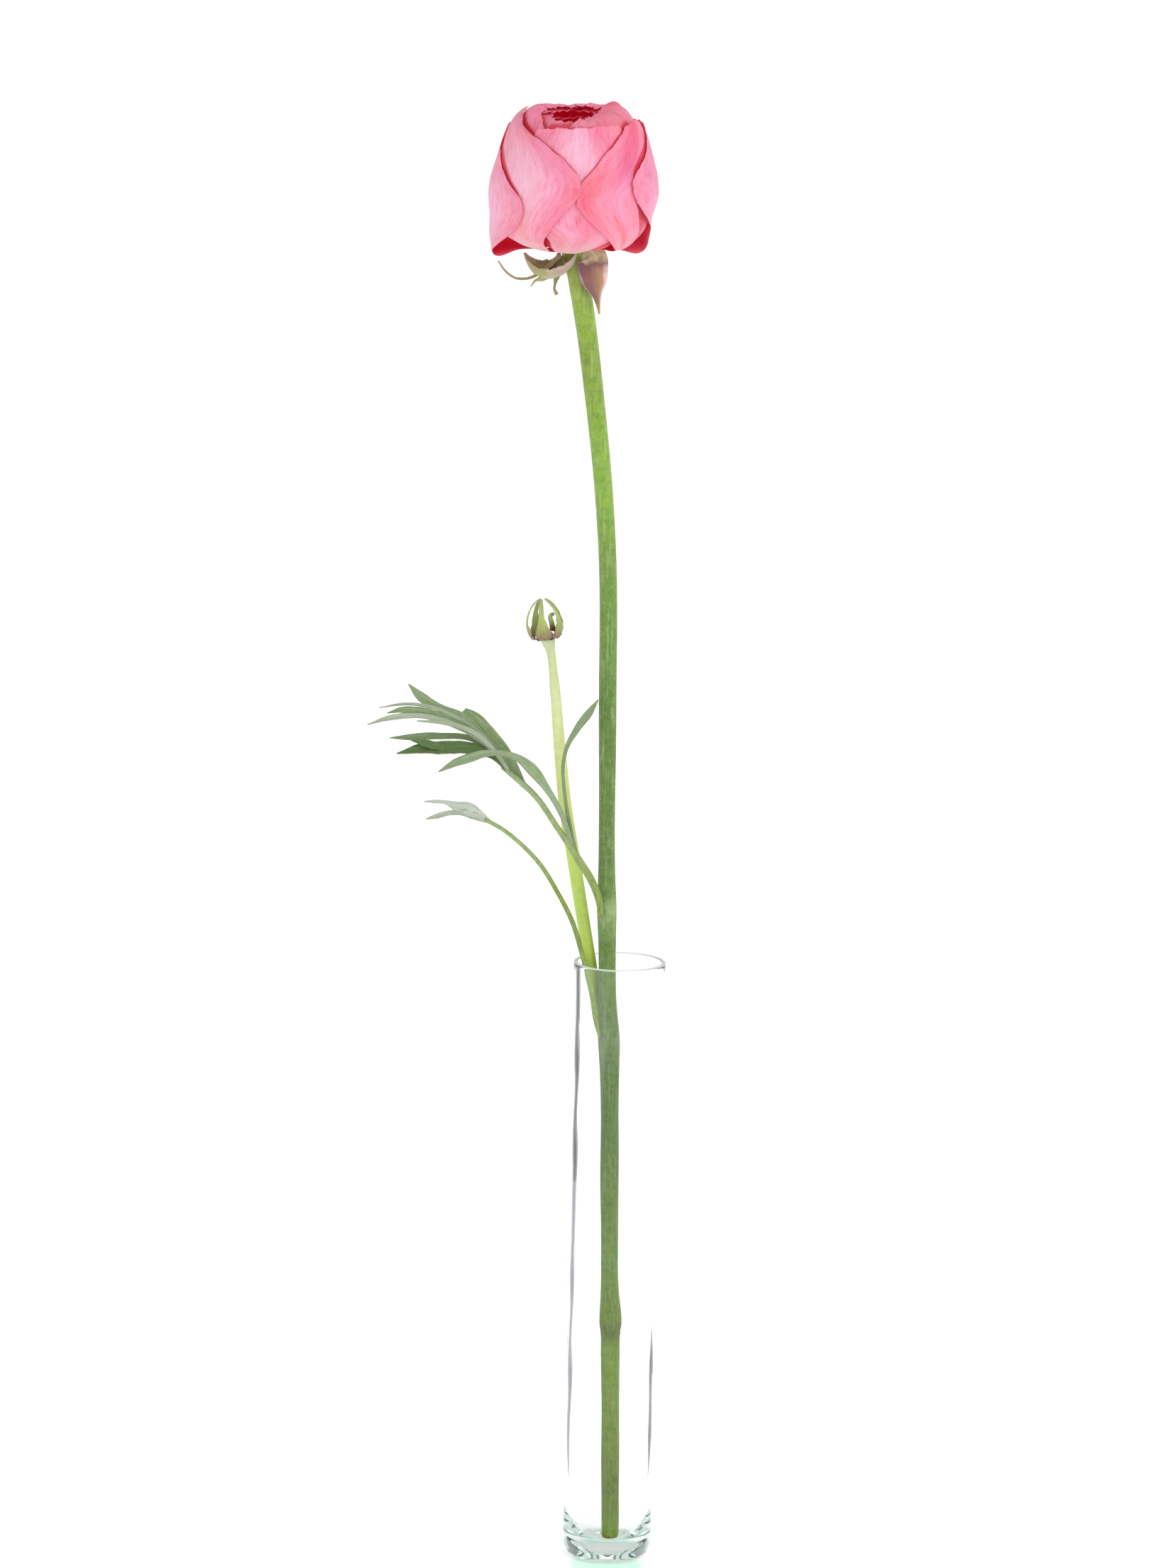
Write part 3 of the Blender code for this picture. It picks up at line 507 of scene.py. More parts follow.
def paintedShadeOf(plans, number, turn, at, radius, height):
    # painted shade: how far a place on a petal lies under the petals outside it, 0 open and 1 covered;
    # covered places are painted crimson
    cover = np.zeros_like(turn)
    fixed = head["fixedRow"]
    belly = 100  # the step of a curve at its widest, past which the height only grows
    for plan in plans[:number]:
        here = at
        if plans[number]["folded"] and not plan["folded"]:
            level = np.interp(height, plan["curve"][belly:, 1], curveShares[belly:])
            here = np.where(at > 0.5, level, at)
        row = np.where(here <= fixed, here, fixed + (here - fixed) * (1 - fixed) / (plan["length"] - fixed))
        left = readKeys(plan["outline"], 1, np.clip(row, 0, 1))
        right = readKeys(plan["outline"], 2, np.clip(row, 0, 1))
        middle = (left + right) / 2
        off = (np.degrees(turn) - middle + 180) % 360 - 180
        inside = ((right - left) / 2 - np.abs(off)) * math.pi / 180 * radius
        # a margin that stands off the petal below shows a strip of it, which is left free of the painted
        # shade and still pink higher up
        gap = np.interp(here, curveShares, plan["curve"][:, 0]) - radius + head["stripSlack"]
        strip = np.clip(gap, 0, head["widestStrip"]) * np.minimum(np.abs(np.tan(turn)), head["steepestView"])
        start = -head["tuck"] + (head["tuck"] + strip) * smoothStep(*head["stripRows"], here)
        top = plan["length"] * (1 - plan["round"] * (off / ((right - left) / 2)) ** 4)
        below = (top - here) * head["petalLength"]
        cover = np.maximum(cover, smoothStep(0, head["crimsonShadeRamp"], np.minimum(inside - start, below)))
    return cover


def petalSheet(plans, number, rows, columns):
    plan = plans[number]
    curve = plan["curve"]
    fixed = head["fixedRow"]
    even = np.linspace(-1, 1, columns)
    row, across = np.meshgrid(np.linspace(0, 1, rows) ** 0.9, 0.75 * even + 0.25 * np.sin(even * math.pi / 2),
                              indexing="ij")
    waveHigh, wavePitch = head["marginWave"]
    rough = waveHigh * smoothStep(*head["freeRows"], row)
    left, right = (readKeys(plan["outline"], i, row)
                   + rough * ripple(row * head["petalLength"], number * 7 + i, wavePitch) for i in (1, 2))
    turn = np.radians(left + (right - left) * (across + 1) / 2)
    nearTop = 180  # a step of the curve
    width = np.radians(right - left) * curve[nearTop, 0] / 2  # half width there, along the surface
    reach = plan["length"] * (1 - plan["round"] * across**4) + plan.get("tilt", 0) * across
    reach = reach + plan["crinkle"] * ripple(across * width, number * 7 + 3, head["crinklePitch"], 4)
    at = np.where(row <= fixed, row, fixed + (row - fixed) * (reach - fixed) / (1 - fixed))
    radius, height = (np.interp(at, curveShares, curve[:, i]) for i in (0, 1))
    slope = np.gradient(curve, axis=0)
    slope /= np.linalg.norm(slope, axis=1)[:, None]
    outR, outH = np.interp(at, curveShares, slope[:, 1]), np.interp(at, curveShares, -slope[:, 0])
    if "bulgeFades" in plan:
        fade = smoothStep(*plan["bulgeFades"], across)
        radius = radius - fade * readKeys(plan["bulge"], 1, at)
        height = height - fade * readKeys(plan["bulge"], 2, at)
    # painted shade: crimson where this petal lies under the petals outside it
    cover = paintedShadeOf(plans, number, turn, at, radius, height)
    # folded petals are painted crimson shade over their lower rows, which lie deep under the outer petals
    if plan["folded"]:
        cover = np.maximum(cover, 1 - smoothStep(*head["freeRows"], row))
    # the painted shade is full towards the flower's front and weaker towards its back
    backShadeShare = head["backShadeShare"]
    cover = cover * (backShadeShare + (1 - backShadeShare) * smoothStep(*head["shadeFrontTurn"], np.cos(turn)))
    if "hang" in plan:
        side, keys = plan["hang"]
        height = height - readKeys(keys, 1, at) * smoothStep(0.3, 1.0, side * across)
    for sign, lift in ((-1, plan["lift"][0]), (1, plan["lift"][1])):
        off = lift * smoothStep(0.75, 1.0, sign * across) * smoothStep(0.24, 0.4, at)
        off = off * (1 - 0.6 * smoothStep(0.6, 0.9, at))
        radius, height = radius + off * outR, height + off * outH
    shoulder = smoothStep(0.7, 0.86, at) - 0.5 * smoothStep(0.88, 1.0, at)
    for azimuth, rise in head["peaks"].get(number, []):
        off = (np.degrees(turn) - azimuth + 180) % 360 - 180
        height = height + rise * np.exp(-((off / 13) ** 2) - ((at - 0.9) / 0.07) ** 2)
    height = height + head["sideRise"] * shoulder * np.sin(turn) ** 2 * (1 - plan["depth"])
    kind = head["sharedSwell"]
    shared = kind["high"] * swell(turn * kind["around"] + plan["depth"] * 3, at * kind["along"], head["seed"],
                                  kind["pitch"])
    ruffle = plan["ruffle"] * smoothStep(0.78, 1.0, row) * ripple(
        turn * kind["around"] + plan["depth"] * 8, head["seed"] + 9, head["rufflePitch"])
    kind = head["ownSwell"]
    own = kind["high"] * swell(turn * kind["around"], at * kind["along"], number + 20, kind["pitch"])
    off = (shared + own) * smoothStep(0.1, 0.4, at) + ruffle
    radius, height = radius + off * outR, height + off * outH
    grid = headToWorld(np.stack([radius * np.sin(turn), -radius * np.cos(turn), height], axis=2))
    edge = np.minimum(1 - np.abs(across), (1 - row) * 1.5)
    thickness = head["rimThickness"] + (head["thickness"] - head["rimThickness"]) * smoothStep(0, 0.25, edge)
    lilac, deep = np.zeros_like(row), np.full_like(row, 0.2 if plan["folded"] else 0.0)
    tones = petalTones[number] if number < len(petalTones) else []
    for spotRow, spotAcross, reachOf, towardLilac, towardDeep in tones:
        near = np.exp(-((row - spotRow) ** 2 + (0.6 * (across - spotAcross)) ** 2) / reachOf**2)
        lilac, deep = lilac + towardLilac * near, deep + towardDeep * near
    uv = np.stack([(across + 1) / 2, row], axis=2)
    return sheetParts(grid, thickness, uv, {"cover": cover, "lilac": 0.5 + 0.5 * lilac, "deep": deep,
                                        "open": np.full_like(row, 0.0 if plan["folded"] else 1.0)})


def petalMaterials():
    # Ranunculus petal: thin, waxy live tissue, which reads as soft satin pink, with veins running up from a
    # pale claw, and painted crimson shade where a petal lies under the next
    outer, tree = newMaterial("satin pink petal outside")
    place = addNode(tree, "ShaderNodeTexCoord")
    sides = addNode(tree, "ShaderNodeSeparateXYZ", None, {0: place.outputs["UV"]})
    vein = stretchedNoise(tree, place.outputs["UV"], (105, 5.5, 1), {"Detail": 3.0, "Roughness": 0.6})
    patch = addNode(tree, "ShaderNodeTexNoise", {"Scale": 75.0, "Detail": 2.0, "Roughness": 0.45},
                    {"Vector": place.outputs["Object"]})
    lilac = addNode(tree, "ShaderNodeAttribute", {"attribute_name": "lilac"})
    shift = addNode(tree, "ShaderNodeMath", {"operation": "MULTIPLY_ADD", 1: 0.9, 2: -0.45},
                    {0: patch.outputs["Fac"]})
    tone = addNode(tree, "ShaderNodeMath", {"operation": "ADD"},
                   {0: shift.outputs[0], 1: lilac.outputs["Fac"]})
    pink = addNode(tree, "ShaderNodeValToRGB", {"stops": [
        (0.0, "#f59aa0"), (0.4, "#f8a6b9"), (0.6, "#f8abc6"), (1.0, "#f2b1d5")]}, {0: tone.outputs[0]})
    streak = addNode(tree, "ShaderNodeMapRange", {"From Min": 0.35, "From Max": 0.68, "To Max": 0.58},
                     {"Value": vein.outputs["Fac"]})
    streaked = addNode(tree, "ShaderNodeMix",
                       {"data_type": "RGBA", "blend_type": "MULTIPLY", 7: linear("#f2ccd8")},
                       {0: streak.outputs[0], 6: pink.outputs[0]})
    spots = stretchedNoise(tree, place.outputs["UV"], (34, 13, 1), {"Detail": 4.0, "Roughness": 0.65})
    spotted = addNode(tree, "ShaderNodeMapRange", {"From Min": 0.45, "From Max": 0.7, "To Max": 0.8},
                      {"Value": spots.outputs["Fac"]})
    veined = addNode(tree, "ShaderNodeMix",
                     {"data_type": "RGBA", "blend_type": "MULTIPLY", 7: linear("#f2bccb")},
                     {0: spotted.outputs[0], 6: streaked.outputs[2]})
    apart = fromMiddle(tree, sides)
    nearEdge = addNode(tree, "ShaderNodeMapRange", {"From Min": 0.3, "From Max": 0.5, "To Max": 0.45},
                       {"Value": apart.outputs[0]})
    nearTop = addNode(tree, "ShaderNodeMapRange", {"From Min": 0.6, "From Max": 1.0, "To Max": 0.5},
                      {"Value": sides.outputs["Y"]})
    rims = addNode(tree, "ShaderNodeMath", {"operation": "MAXIMUM"},
                   {0: nearEdge.outputs[0], 1: nearTop.outputs[0]})
    deep = addNode(tree, "ShaderNodeAttribute", {"attribute_name": "deep"})
    deeper = addNode(tree, "ShaderNodeMath", {"operation": "MULTIPLY_ADD", 1: 0.75, "use_clamp": True},
                     {0: deep.outputs["Fac"], 2: rims.outputs[0]})
    flushed = addNode(tree, "ShaderNodeMix",
                      {"data_type": "RGBA", "blend_type": "MULTIPLY", 7: linear("#f7aabf")},
                      {0: deeper.outputs[0], 6: veined.outputs[2]})
    paleness = addNode(tree, "ShaderNodeMath", {"operation": "MULTIPLY", 1: -0.45, "use_clamp": True},
                       {0: deep.outputs["Fac"]})
    paled = addNode(tree, "ShaderNodeMix", {"data_type": "RGBA", 7: linear("#fbd4dc")},
                    {0: paleness.outputs[0], 6: flushed.outputs[2]})
    lift = addNode(tree, "ShaderNodeMath", {"operation": "MULTIPLY_ADD", 1: 0.16},
                   {0: vein.outputs["Fac"], 2: sides.outputs["Y"]})
    clawAt = addNode(tree, "ShaderNodeMapRange",
                     {"interpolation_type": "SMOOTHSTEP", "From Min": 0.26, "From Max": 0.54},
                     {"Value": lift.outputs[0]})
    clawed = addNode(tree, "ShaderNodeMix", {"data_type": "RGBA", 6: linear("#d29f9e")},
                     {0: clawAt.outputs[0], 7: paled.outputs[2]})
    # painted shade: the petal is mixed towards crimson #d83552 where it lies under the next
    paintedShadeAttribute = addNode(tree, "ShaderNodeAttribute", {"attribute_name": "cover"})
    shaded = addNode(tree, "ShaderNodeMix", {"data_type": "RGBA", 7: linear("#d83552")},
                     {0: paintedShadeAttribute.outputs["Fac"], 6: clawed.outputs[2]})
    grain = addNode(tree, "ShaderNodeBump", {"Strength": 0.25, "Distance": 0.00012},
                    {"Height": vein.outputs["Fac"]})
    finishMaterial(tree, {"Roughness": 0.5, "Specular IOR Level": 0.35, "Sheen Weight": 0.08,
                          "Subsurface Weight": 0.15, "Subsurface Radius": (1.0, 0.35, 0.4),
                          "Subsurface Scale": 0.0012},
                   {"Base Color": shaded.outputs[2], "Normal": grain.outputs[0]})

    inner, tree = newMaterial("crimson petal inside with painted glow")
    place = addNode(tree, "ShaderNodeTexCoord")
    vein = stretchedNoise(tree, place.outputs["UV"], (60, 3.0, 1), {"Detail": 3.0})
    red = addNode(tree, "ShaderNodeValToRGB", {"stops": [(0.3, "#cf1038"), (0.7, "#e23a58")]},
                  {0: vein.outputs["Fac"]})
    sides = addNode(tree, "ShaderNodeSeparateXYZ", None, {0: place.outputs["UV"]})
    apart = fromMiddle(tree, sides)
    margin = addNode(tree, "ShaderNodeValToRGB",
                     {"stops": [(0.3, "#e65a76"), (0.42, "#ee7a92"), (0.5, "#f7a6b6")]},
                     {0: apart.outputs[0]})
    shown = addNode(tree, "ShaderNodeAttribute", {"attribute_name": "open"})
    toned = addNode(tree, "ShaderNodeMix", {"data_type": "RGBA"},
                    {0: shown.outputs["Fac"], 6: red.outputs[0], 7: margin.outputs[0]})
    nearTop = addNode(tree, "ShaderNodeMapRange", {"From Min": 0.87, "From Max": 0.99, "To Max": 0.75},
                      {"Value": sides.outputs["Y"]})
    rimmed = addNode(tree, "ShaderNodeMix", {"data_type": "RGBA", 7: linear("#f58aa2")},
                     {0: nearTop.outputs[0], 6: toned.outputs[2]})
    # painted glow: the inside faces give off a faint crimson light, though they are no lamp
    finishMaterial(tree, {"Roughness": 0.45, "Specular IOR Level": 0.35, "Emission Color": linear("#c3062c"),
                          "Emission Strength": 0.22, "Subsurface Weight": 0.1,
                          "Subsurface Radius": (1.0, 0.3, 0.3), "Subsurface Scale": 0.001},
                   {"Base Color": rimmed.outputs[2]})
    return outer, inner


def buildPetals():
    materials = petalMaterials()
    plans = petalPlans()
    for number in range(len(plans)):
        rows, columns = next(grid for last, *grid in head["grids"] if number < last)
        name = f"petal_{number + 1:02d}"
        ridePiece(finePiece("fine_" + name, petalSheet(plans, number, rows, columns), materials), [name])
    print("petals:", len(plans))


stem = {
    "line": [(1.0, -1.0, 2.5, 2.35), (0.6, -0.9, 24, 2.45), (-0.2, -0.7, 58, 2.6), (-0.35, -0.6, 64.4, 2.75),
             (-0.4, -0.6, 66.9, 3.1), (-0.5, -0.6, 70, 3.0), (-0.7, -0.5, 75, 2.6), (-1.5, -0.1, 108, 2.6),
             (-2.2, 0.4, 138, 2.7), (-2.7, 0.8, 148.5, 3.1), (-3.1, 1.0, 157, 2.6), (-3.7, 1.3, 178, 2.55),
             (-3.9, 1.4, 184, 2.75), (-4.1, 1.5, 192, 2.45), (-4.9, 1.8, 240, 2.4), (-6.0, 2.0, 285, 2.45),
             (-7.6, 2.0, 304, 2.55), (-10.4, 2.0, 327, 2.7), (-13.2, 1.9, 347, 2.85), (-15.6, 1.8, 361, 3.0)],
    "receptacle": [(-2.2, 3.3), (0.0, 4.1), (5.0, 3.2), (9.6, 2.3), (14.0, 1.6), (15.2, 0.8)],
    "rings": 220, "receptacleRings": 40, "sides": 48, "ridges": 9, "ridgeDepth": 0.012, "oval": 0.02,
    # hairs, in metres, a little coarser than real down so that they show
    "hairsPerSquareMetre": 3.6e6, "hairLength": 0.0006, "hairRadius": 0.000014, "hairTip": 0.000004,
    "seed": 11,
    # colours by share of the way from the height "low" to the height "high"
    "low": 4.0, "high": 375.0, "mottle": "#cfd8bd",
    "greens": [(0.0, "#91ae1c"), (0.045, "#7d9822"), (0.1, "#93b234"), (0.153, "#93b434"), (0.163, "#70841c"),
               (0.172, "#85a01c"), (0.185, "#8aa82c"), (0.218, "#86b048"), (0.26, "#80a036"),
               (0.315, "#70983a"), (0.36, "#709838"), (0.389, "#8ea968"), (0.42, "#7da24a"),
               (0.461, "#73934a"), (0.476, "#82a05a"), (0.486, "#a6bd86"), (0.5, "#6f9044"),
               (0.53, "#6a8b40"), (0.64, "#678a3a"), (0.693, "#72963d"), (0.748, "#7c9e41"), (0.8, "#90b744"),
               (0.845, "#91b53f"), (0.9, "#88a334"), (0.93, "#98ba40"), (0.97, "#9ea84e")],
}
sideStem = {"line": [(-4.2, 4.9, 147.8, 1.2), (-4.9, 5.3, 151.5, 1.4), (-5.9, 4.9, 155.8, 1.5),
                     (-7.3, 4.2, 163.9, 1.65), (-8.5, 3.6, 170.5, 1.7), (-10.3, 3.7, 180, 1.8),
                     (-13.3, 4.3, 197, 1.85), (-16.0, 4.8, 212, 1.8), (-18.0, 5.2, 229, 1.65),
                     (-19.6, 5.5, 245, 1.45), (-21.2, 5.8, 256.5, 1.4), (-22.0, 5.8, 259.6, 2.0),
                     (-22.3, 5.8, 261.0, 1.5)], "rings": 110, "sides": 36, "low": 148.0, "high": 261.0,
            "mottle": "#f0f2e2", "greens": [(0.0, "#a3c339"), (0.15, "#a8c93c"), (0.21, "#c4da5c"),
                                            (0.3, "#c4dc66"), (0.4, "#c6de70"), (0.55, "#cfe084"),
                                            (0.7, "#dde39d"), (0.83, "#dae3ad"), (0.92, "#cedaa2"),
                                            (0.97, "#c8d4aa"), (1.0, "#cdd6c4")],}


def stemMaterial(name, tones):
    # Fresh stem: smooth juicy skin with faint ribs under fine down, so it is satin with pale edges
    material, tree = newMaterial(name)
    place = addNode(tree, "ShaderNodeTexCoord")
    sides = addNode(tree, "ShaderNodeSeparateXYZ", None, {0: place.outputs["Object"]})
    heightAt = addNode(tree, "ShaderNodeMapRange",
                       {"From Min": tones["low"] * mm, "From Max": tones["high"] * mm},
                       {"Value": sides.outputs["Z"]})
    green = addNode(tree, "ShaderNodeValToRGB", {"stops": tones["greens"]}, {0: heightAt.outputs[0]})
    fibre = stretchedNoise(tree, place.outputs["Object"], (1600, 1600, 120), {"Detail": 3.0})
    blotch = addNode(tree, "ShaderNodeTexNoise", {"Scale": 520.0, "Detail": 5.0, "Roughness": 0.75},
                     {"Vector": place.outputs["Object"]})
    spotted = addNode(tree, "ShaderNodeMapRange", {"From Min": 0.36, "From Max": 0.64},
                      {"Value": blotch.outputs["Fac"]})
    dark = addNode(tree, "ShaderNodeMix",
                   {"data_type": "RGBA", "blend_type": "MULTIPLY", 7: linear(tones["mottle"])},
                   {0: spotted.outputs[0], 6: green.outputs[0]})
    pale = addNode(tree, "ShaderNodeMapRange", {"From Min": 0.52, "From Max": 0.75, "To Max": 0.3},
                   {"Value": fibre.outputs["Fac"]})
    downy = addNode(tree, "ShaderNodeMix", {"data_type": "RGBA", 7: linear("#c9d6ab")},
                    {0: pale.outputs[0], 6: dark.outputs[2]})
    grain = addNode(tree, "ShaderNodeBump", {"Strength": 0.3, "Distance": 0.0001},
                    {"Height": fibre.outputs["Fac"]})
    finishMaterial(tree, {"Roughness": 0.5, "Specular IOR Level": 0.4, "Sheen Weight": 0.15,
                          "Sheen Roughness": 0.4, "Subsurface Weight": 0.12,
                          "Subsurface Radius": (0.5, 0.8, 0.2), "Subsurface Scale": 0.0015},
                   {"Base Color": downy.outputs[2], "Normal": grain.outputs[0]})
    return material


def addHairs(body, name, material):
    # short fine hairs that lie along the stem, grown over the body's surface
    inputs = {"Density": ("Float", stem["hairsPerSquareMetre"]), "Length": ("Float", stem["hairLength"]),
              "Radius": ("Float", stem["hairRadius"]), "Seed": ("Int", stem["seed"])}
    tree = bpy.data.node_groups.new(name, "GeometryNodeTree")
    tree.interface.new_socket("Geometry", in_out="INPUT", socket_type="NodeSocketGeometry")
    sockets = {}
    for label, (kind, value) in inputs.items():
        socket = tree.interface.new_socket(label, in_out="INPUT", socket_type="NodeSocket" + kind)
        socket.default_value = value
        sockets[label] = socket.identifier
    tree.interface.new_socket("Geometry", in_out="OUTPUT", socket_type="NodeSocketGeometry")
    entry = addNode(tree, "NodeGroupInput")
    spread = addNode(tree, "GeometryNodeDistributePointsOnFaces", None,
                     {"Mesh": entry.outputs["Geometry"], "Density": entry.outputs["Density"],
                      "Seed": entry.outputs["Seed"]})
    hair = addNode(tree, "GeometryNodeMeshCone",
                   {"Vertices": 3, "Side Segments": 1, "Fill Segments": 1, "Radius Top": stem["hairTip"]},
                   {"Radius Bottom": entry.outputs["Radius"], "Depth": entry.outputs["Length"]})
    lean = addNode(tree, "FunctionNodeRandomValue",
                   {"data_type": "FLOAT_VECTOR", 0: (-0.5, -0.5, 0.35), 1: (0.5, 0.5, 1.1)},
                   {"Seed": entry.outputs["Seed"]})
    out = addNode(tree, "ShaderNodeVectorMath", {"operation": "MULTIPLY_ADD", 1: (0.45, 0.45, 0.45)},
                  {0: spread.outputs["Normal"], 2: lean.outputs[0]})
    aim = addNode(tree, "FunctionNodeAlignRotationToVector", {"axis": "Z"}, {"Vector": out.outputs[0]})
    size = addNode(tree, "FunctionNodeRandomValue", {"data_type": "FLOAT", 2: 0.5, 3: 1.2},
                   {"Seed": entry.outputs["Seed"]})
    place = addNode(tree, "GeometryNodeInstanceOnPoints", None,
                    {"Points": spread.outputs["Points"], "Instance": hair.outputs["Mesh"],
                     "Rotation": aim.outputs[0], "Scale": size.outputs[1]})
    real = addNode(tree, "GeometryNodeRealizeInstances", None, {"Geometry": place.outputs[0]})
    paint = addNode(tree, "GeometryNodeSetMaterial", {"Material": material}, {"Geometry": real.outputs[0]})
    addNode(tree, "NodeGroupOutput", None, {"Geometry": paint.outputs[0]})

    holder = bpy.data.objects.new(name + "_maker", body.data.copy())
    bpy.context.scene.collection.objects.link(holder)
    modifier = holder.modifiers.new("hairs", "NODES")
    modifier.node_group = tree
    for label, (_, value) in inputs.items():
        modifier[sockets[label]] = value
    graph = bpy.context.evaluated_depsgraph_get()
    mesh = bpy.data.meshes.new_from_object(holder.evaluated_get(graph))
    bpy.data.objects.remove(holder)
    piece = bpy.data.objects.new(name, mesh)
    bpy.context.scene.collection.objects.link(piece)
    return piece


def buildStems():
    nod = headToWorld(np.array([[0, 0, height] for height, _ in stem["receptacle"]], dtype=float))
    line = smoothLine(stem["line"], stem["rings"])
    top = np.column_stack([nod, [radius for _, radius in stem["receptacle"]]])
    top = smoothLine(np.concatenate([line[-1:], top]), stem["receptacleRings"])
    line = np.concatenate([line, top[1:]])

    def ribs(angles, share):
        ridge = stem["ridgeDepth"] * np.sin(angles * stem["ridges"] + 2 * math.sin(share * 9))
        return 1 + ridge + stem["oval"] * np.sin(angles * 2 + share * 14)

    green = stemMaterial("downy green ranunculus stem", stem)
    body = ridePiece(finePiece("stem_body", tubeParts(line, stem["sides"], ribs), [green]), ["main_stem"])

    pale = stemMaterial("smooth yellow green bud stem", sideStem)
    part = tubeParts(smoothLine(sideStem["line"], sideStem["rings"]), sideStem["sides"])
    ridePiece(finePiece("side_stem_body", part, [pale]), ["side_stem"])

    # Down: fine dry hairs that catch the light and soften the stem's outline
    hairWhite, tree = newMaterial("whitish stem down")
    finishMaterial(tree, {"Base Color": linear("#e6ecd8"), "Roughness": 0.6, "Transmission Weight": 0.25})
    hairs = ridePiece(addHairs(body, "stem_hairs", hairWhite), [])
    pointsPerHair = 6
    print("stems and", len(hairs.data.vertices) // pointsPerHair, "hairs")


leafThickness = 0.35
leafFace = (-0.25, -0.75, 0.6)  # the way most lobes face
leafStalk = {
    "rings": 90, "sides": 16, "low": 148.0, "high": 226.0, "mottle": "#d4dbc4",
    "greens": [(0.0, "#a8c646"), (0.24, "#a4c048"), (0.34, "#8ba152"), (0.53, "#8da24a"), (0.7, "#a0b374"),
               (1.0, "#a3b48c")],
}
# Each rib is a line of (x, y, z, width), the way it faces, its cup in degrees and how downy it is.
dividedLeaf = {
    "stalk": [(-5.4, -1.9, 183, 0.8), (-6.4, -2.9, 188.5, 1.0), (-8.8, -3.1, 194.1, 1.1),
              (-11.3, -3.1, 197.9, 1.1), (-14.2, -3.0, 202.4, 1.0), (-18.3, -2.8, 208.2, 0.85),
              (-24.1, -2.6, 216.3, 0.85), (-30.8, -2.5, 222.3, 0.8), (-33.7, -2.5, 224.5, 0.6)],
    "ribs": [
        ([(-12.6, -3.1, 200, 1.6), (-14.6, -3.3, 208.8, 1.5), (-16.2, -3.0, 217.5, 1.2),
          (-16.8, -2.6, 225.1, 1.2), (-15.9, -2.2, 230.3, 1.4), (-12.8, -1.5, 236.1, 2.2),
          (-10, -1.0, 239.8, 2.4), (-7.6, -0.5, 243.6, 0.4)],
         (-0.6, -0.8, 0), 25, 0.55),
        ([(-13.4, -3.1, 201.4, 1.4), (-17, -4.0, 211.9, 1.5), (-21.2, -4.5, 219.1, 2.0),
          (-25.6, -4.9, 224.6, 3.3), (-29.5, -5.2, 227.7, 2.2), (-34.5, -5.7, 229, 1.8),
          (-43.1, -6.2, 227.4, 3.0), (-46.9, -6.6, 225.9, 2.4), (-51.2, -7.0, 223.6, 0.3)], leafFace, 20,
          0.6),
        ([(-27.6, -2.5, 219.4, 1.6), (-30.6, -1.9, 223.8, 3.4), (-33.8, -1.0, 228.3, 4.6),
          (-38.6, 0, 233.6, 5.0), (-42.5, 0.9, 237.6, 4.2), (-44.6, 1.5, 239.5, 1.6)], (-0.1, -0.9, 0.45), 15,
          0.5),
        ([(-31.5, -2.3, 223, 1.0), (-38.6, -1.0, 232.5, 1.4), (-44.4, 0, 238, 1.6), (-52.1, 1.0, 240.6, 2.0),
          (-56.3, 2.4, 242.6, 2.8), (-60.1, 4.0, 246, 0.3)], leafFace, 20, 0.55),
        ([(-31.8, -2.3, 223.2, 1.0), (-38.6, -1.6, 232.3, 1.2), (-46.3, -1.8, 237.8, 1.2),
          (-54.4, -2.0, 241, 1.0), (-61, -2.2, 241.5, 0.9), (-67.9, -2.5, 240.4, 0.3)], leafFace, 20, 0.75),
        ([(-32.1, -2.4, 223.4, 1.0), (-41.5, -2.2, 234.1, 1.6), (-49.1, -2.8, 237.8, 2.2),
          (-56, -3.6, 239.5, 3.0), (-61.5, -4.4, 240.2, 2.0), (-65.6, -5.0, 239.4, 0.3)], leafFace, 25, 0.5),
        ([(-31.5, -2.7, 222.8, 1.0), (-39.4, -3.1, 231.9, 1.6), (-48.1, -4.0, 236.6, 1.8),
          (-56.7, -5.2, 238.8, 1.6), (-64.2, -6.4, 238.4, 1.8), (-71, -8.0, 236.6, 0.3)], leafFace, 25, 0.8),
        ([(-31.2, -2.7, 222.6, 1.0), (-36.5, -3.4, 229.8, 1.4), (-42, -4.6, 234.6, 1.5),
          (-49, -6.0, 237, 1.3), (-57.3, -7.6, 237.9, 0.4)], leafFace, 20, 0.75),
        ([(-32.4, -2.4, 223.6, 1.0), (-37.5, -1.0, 229, 1.4), (-42.4, 0.8, 231.6, 1.7),
          (-50.1, 3.0, 231.8, 2.0), (-58.2, 5.2, 230.9, 2.2), (-65.1, 7.0, 230.2, 0.3)], leafFace, 20, 0.5),
        ([(-31, -2.6, 222.4, 1.2), (-36, -3.3, 227.6, 2.2), (-41.5, -3.6, 229.6, 3.6),
          (-48, -4.4, 229.9, 4.2), (-55.5, -5.4, 229.7, 3.6), (-62.8, -7.0, 228.5, 0.3)], leafFace, 20, 0.12),
        ([(-49.5, -4.7, 229.9, 1.8), (-54, -5.4, 231, 2.4), (-56.6, -5.9, 231.7, 1.6),
          (-58.9, -6.3, 232.2, 0.3)],
         leafFace, 20, 0.15),
    ],
}
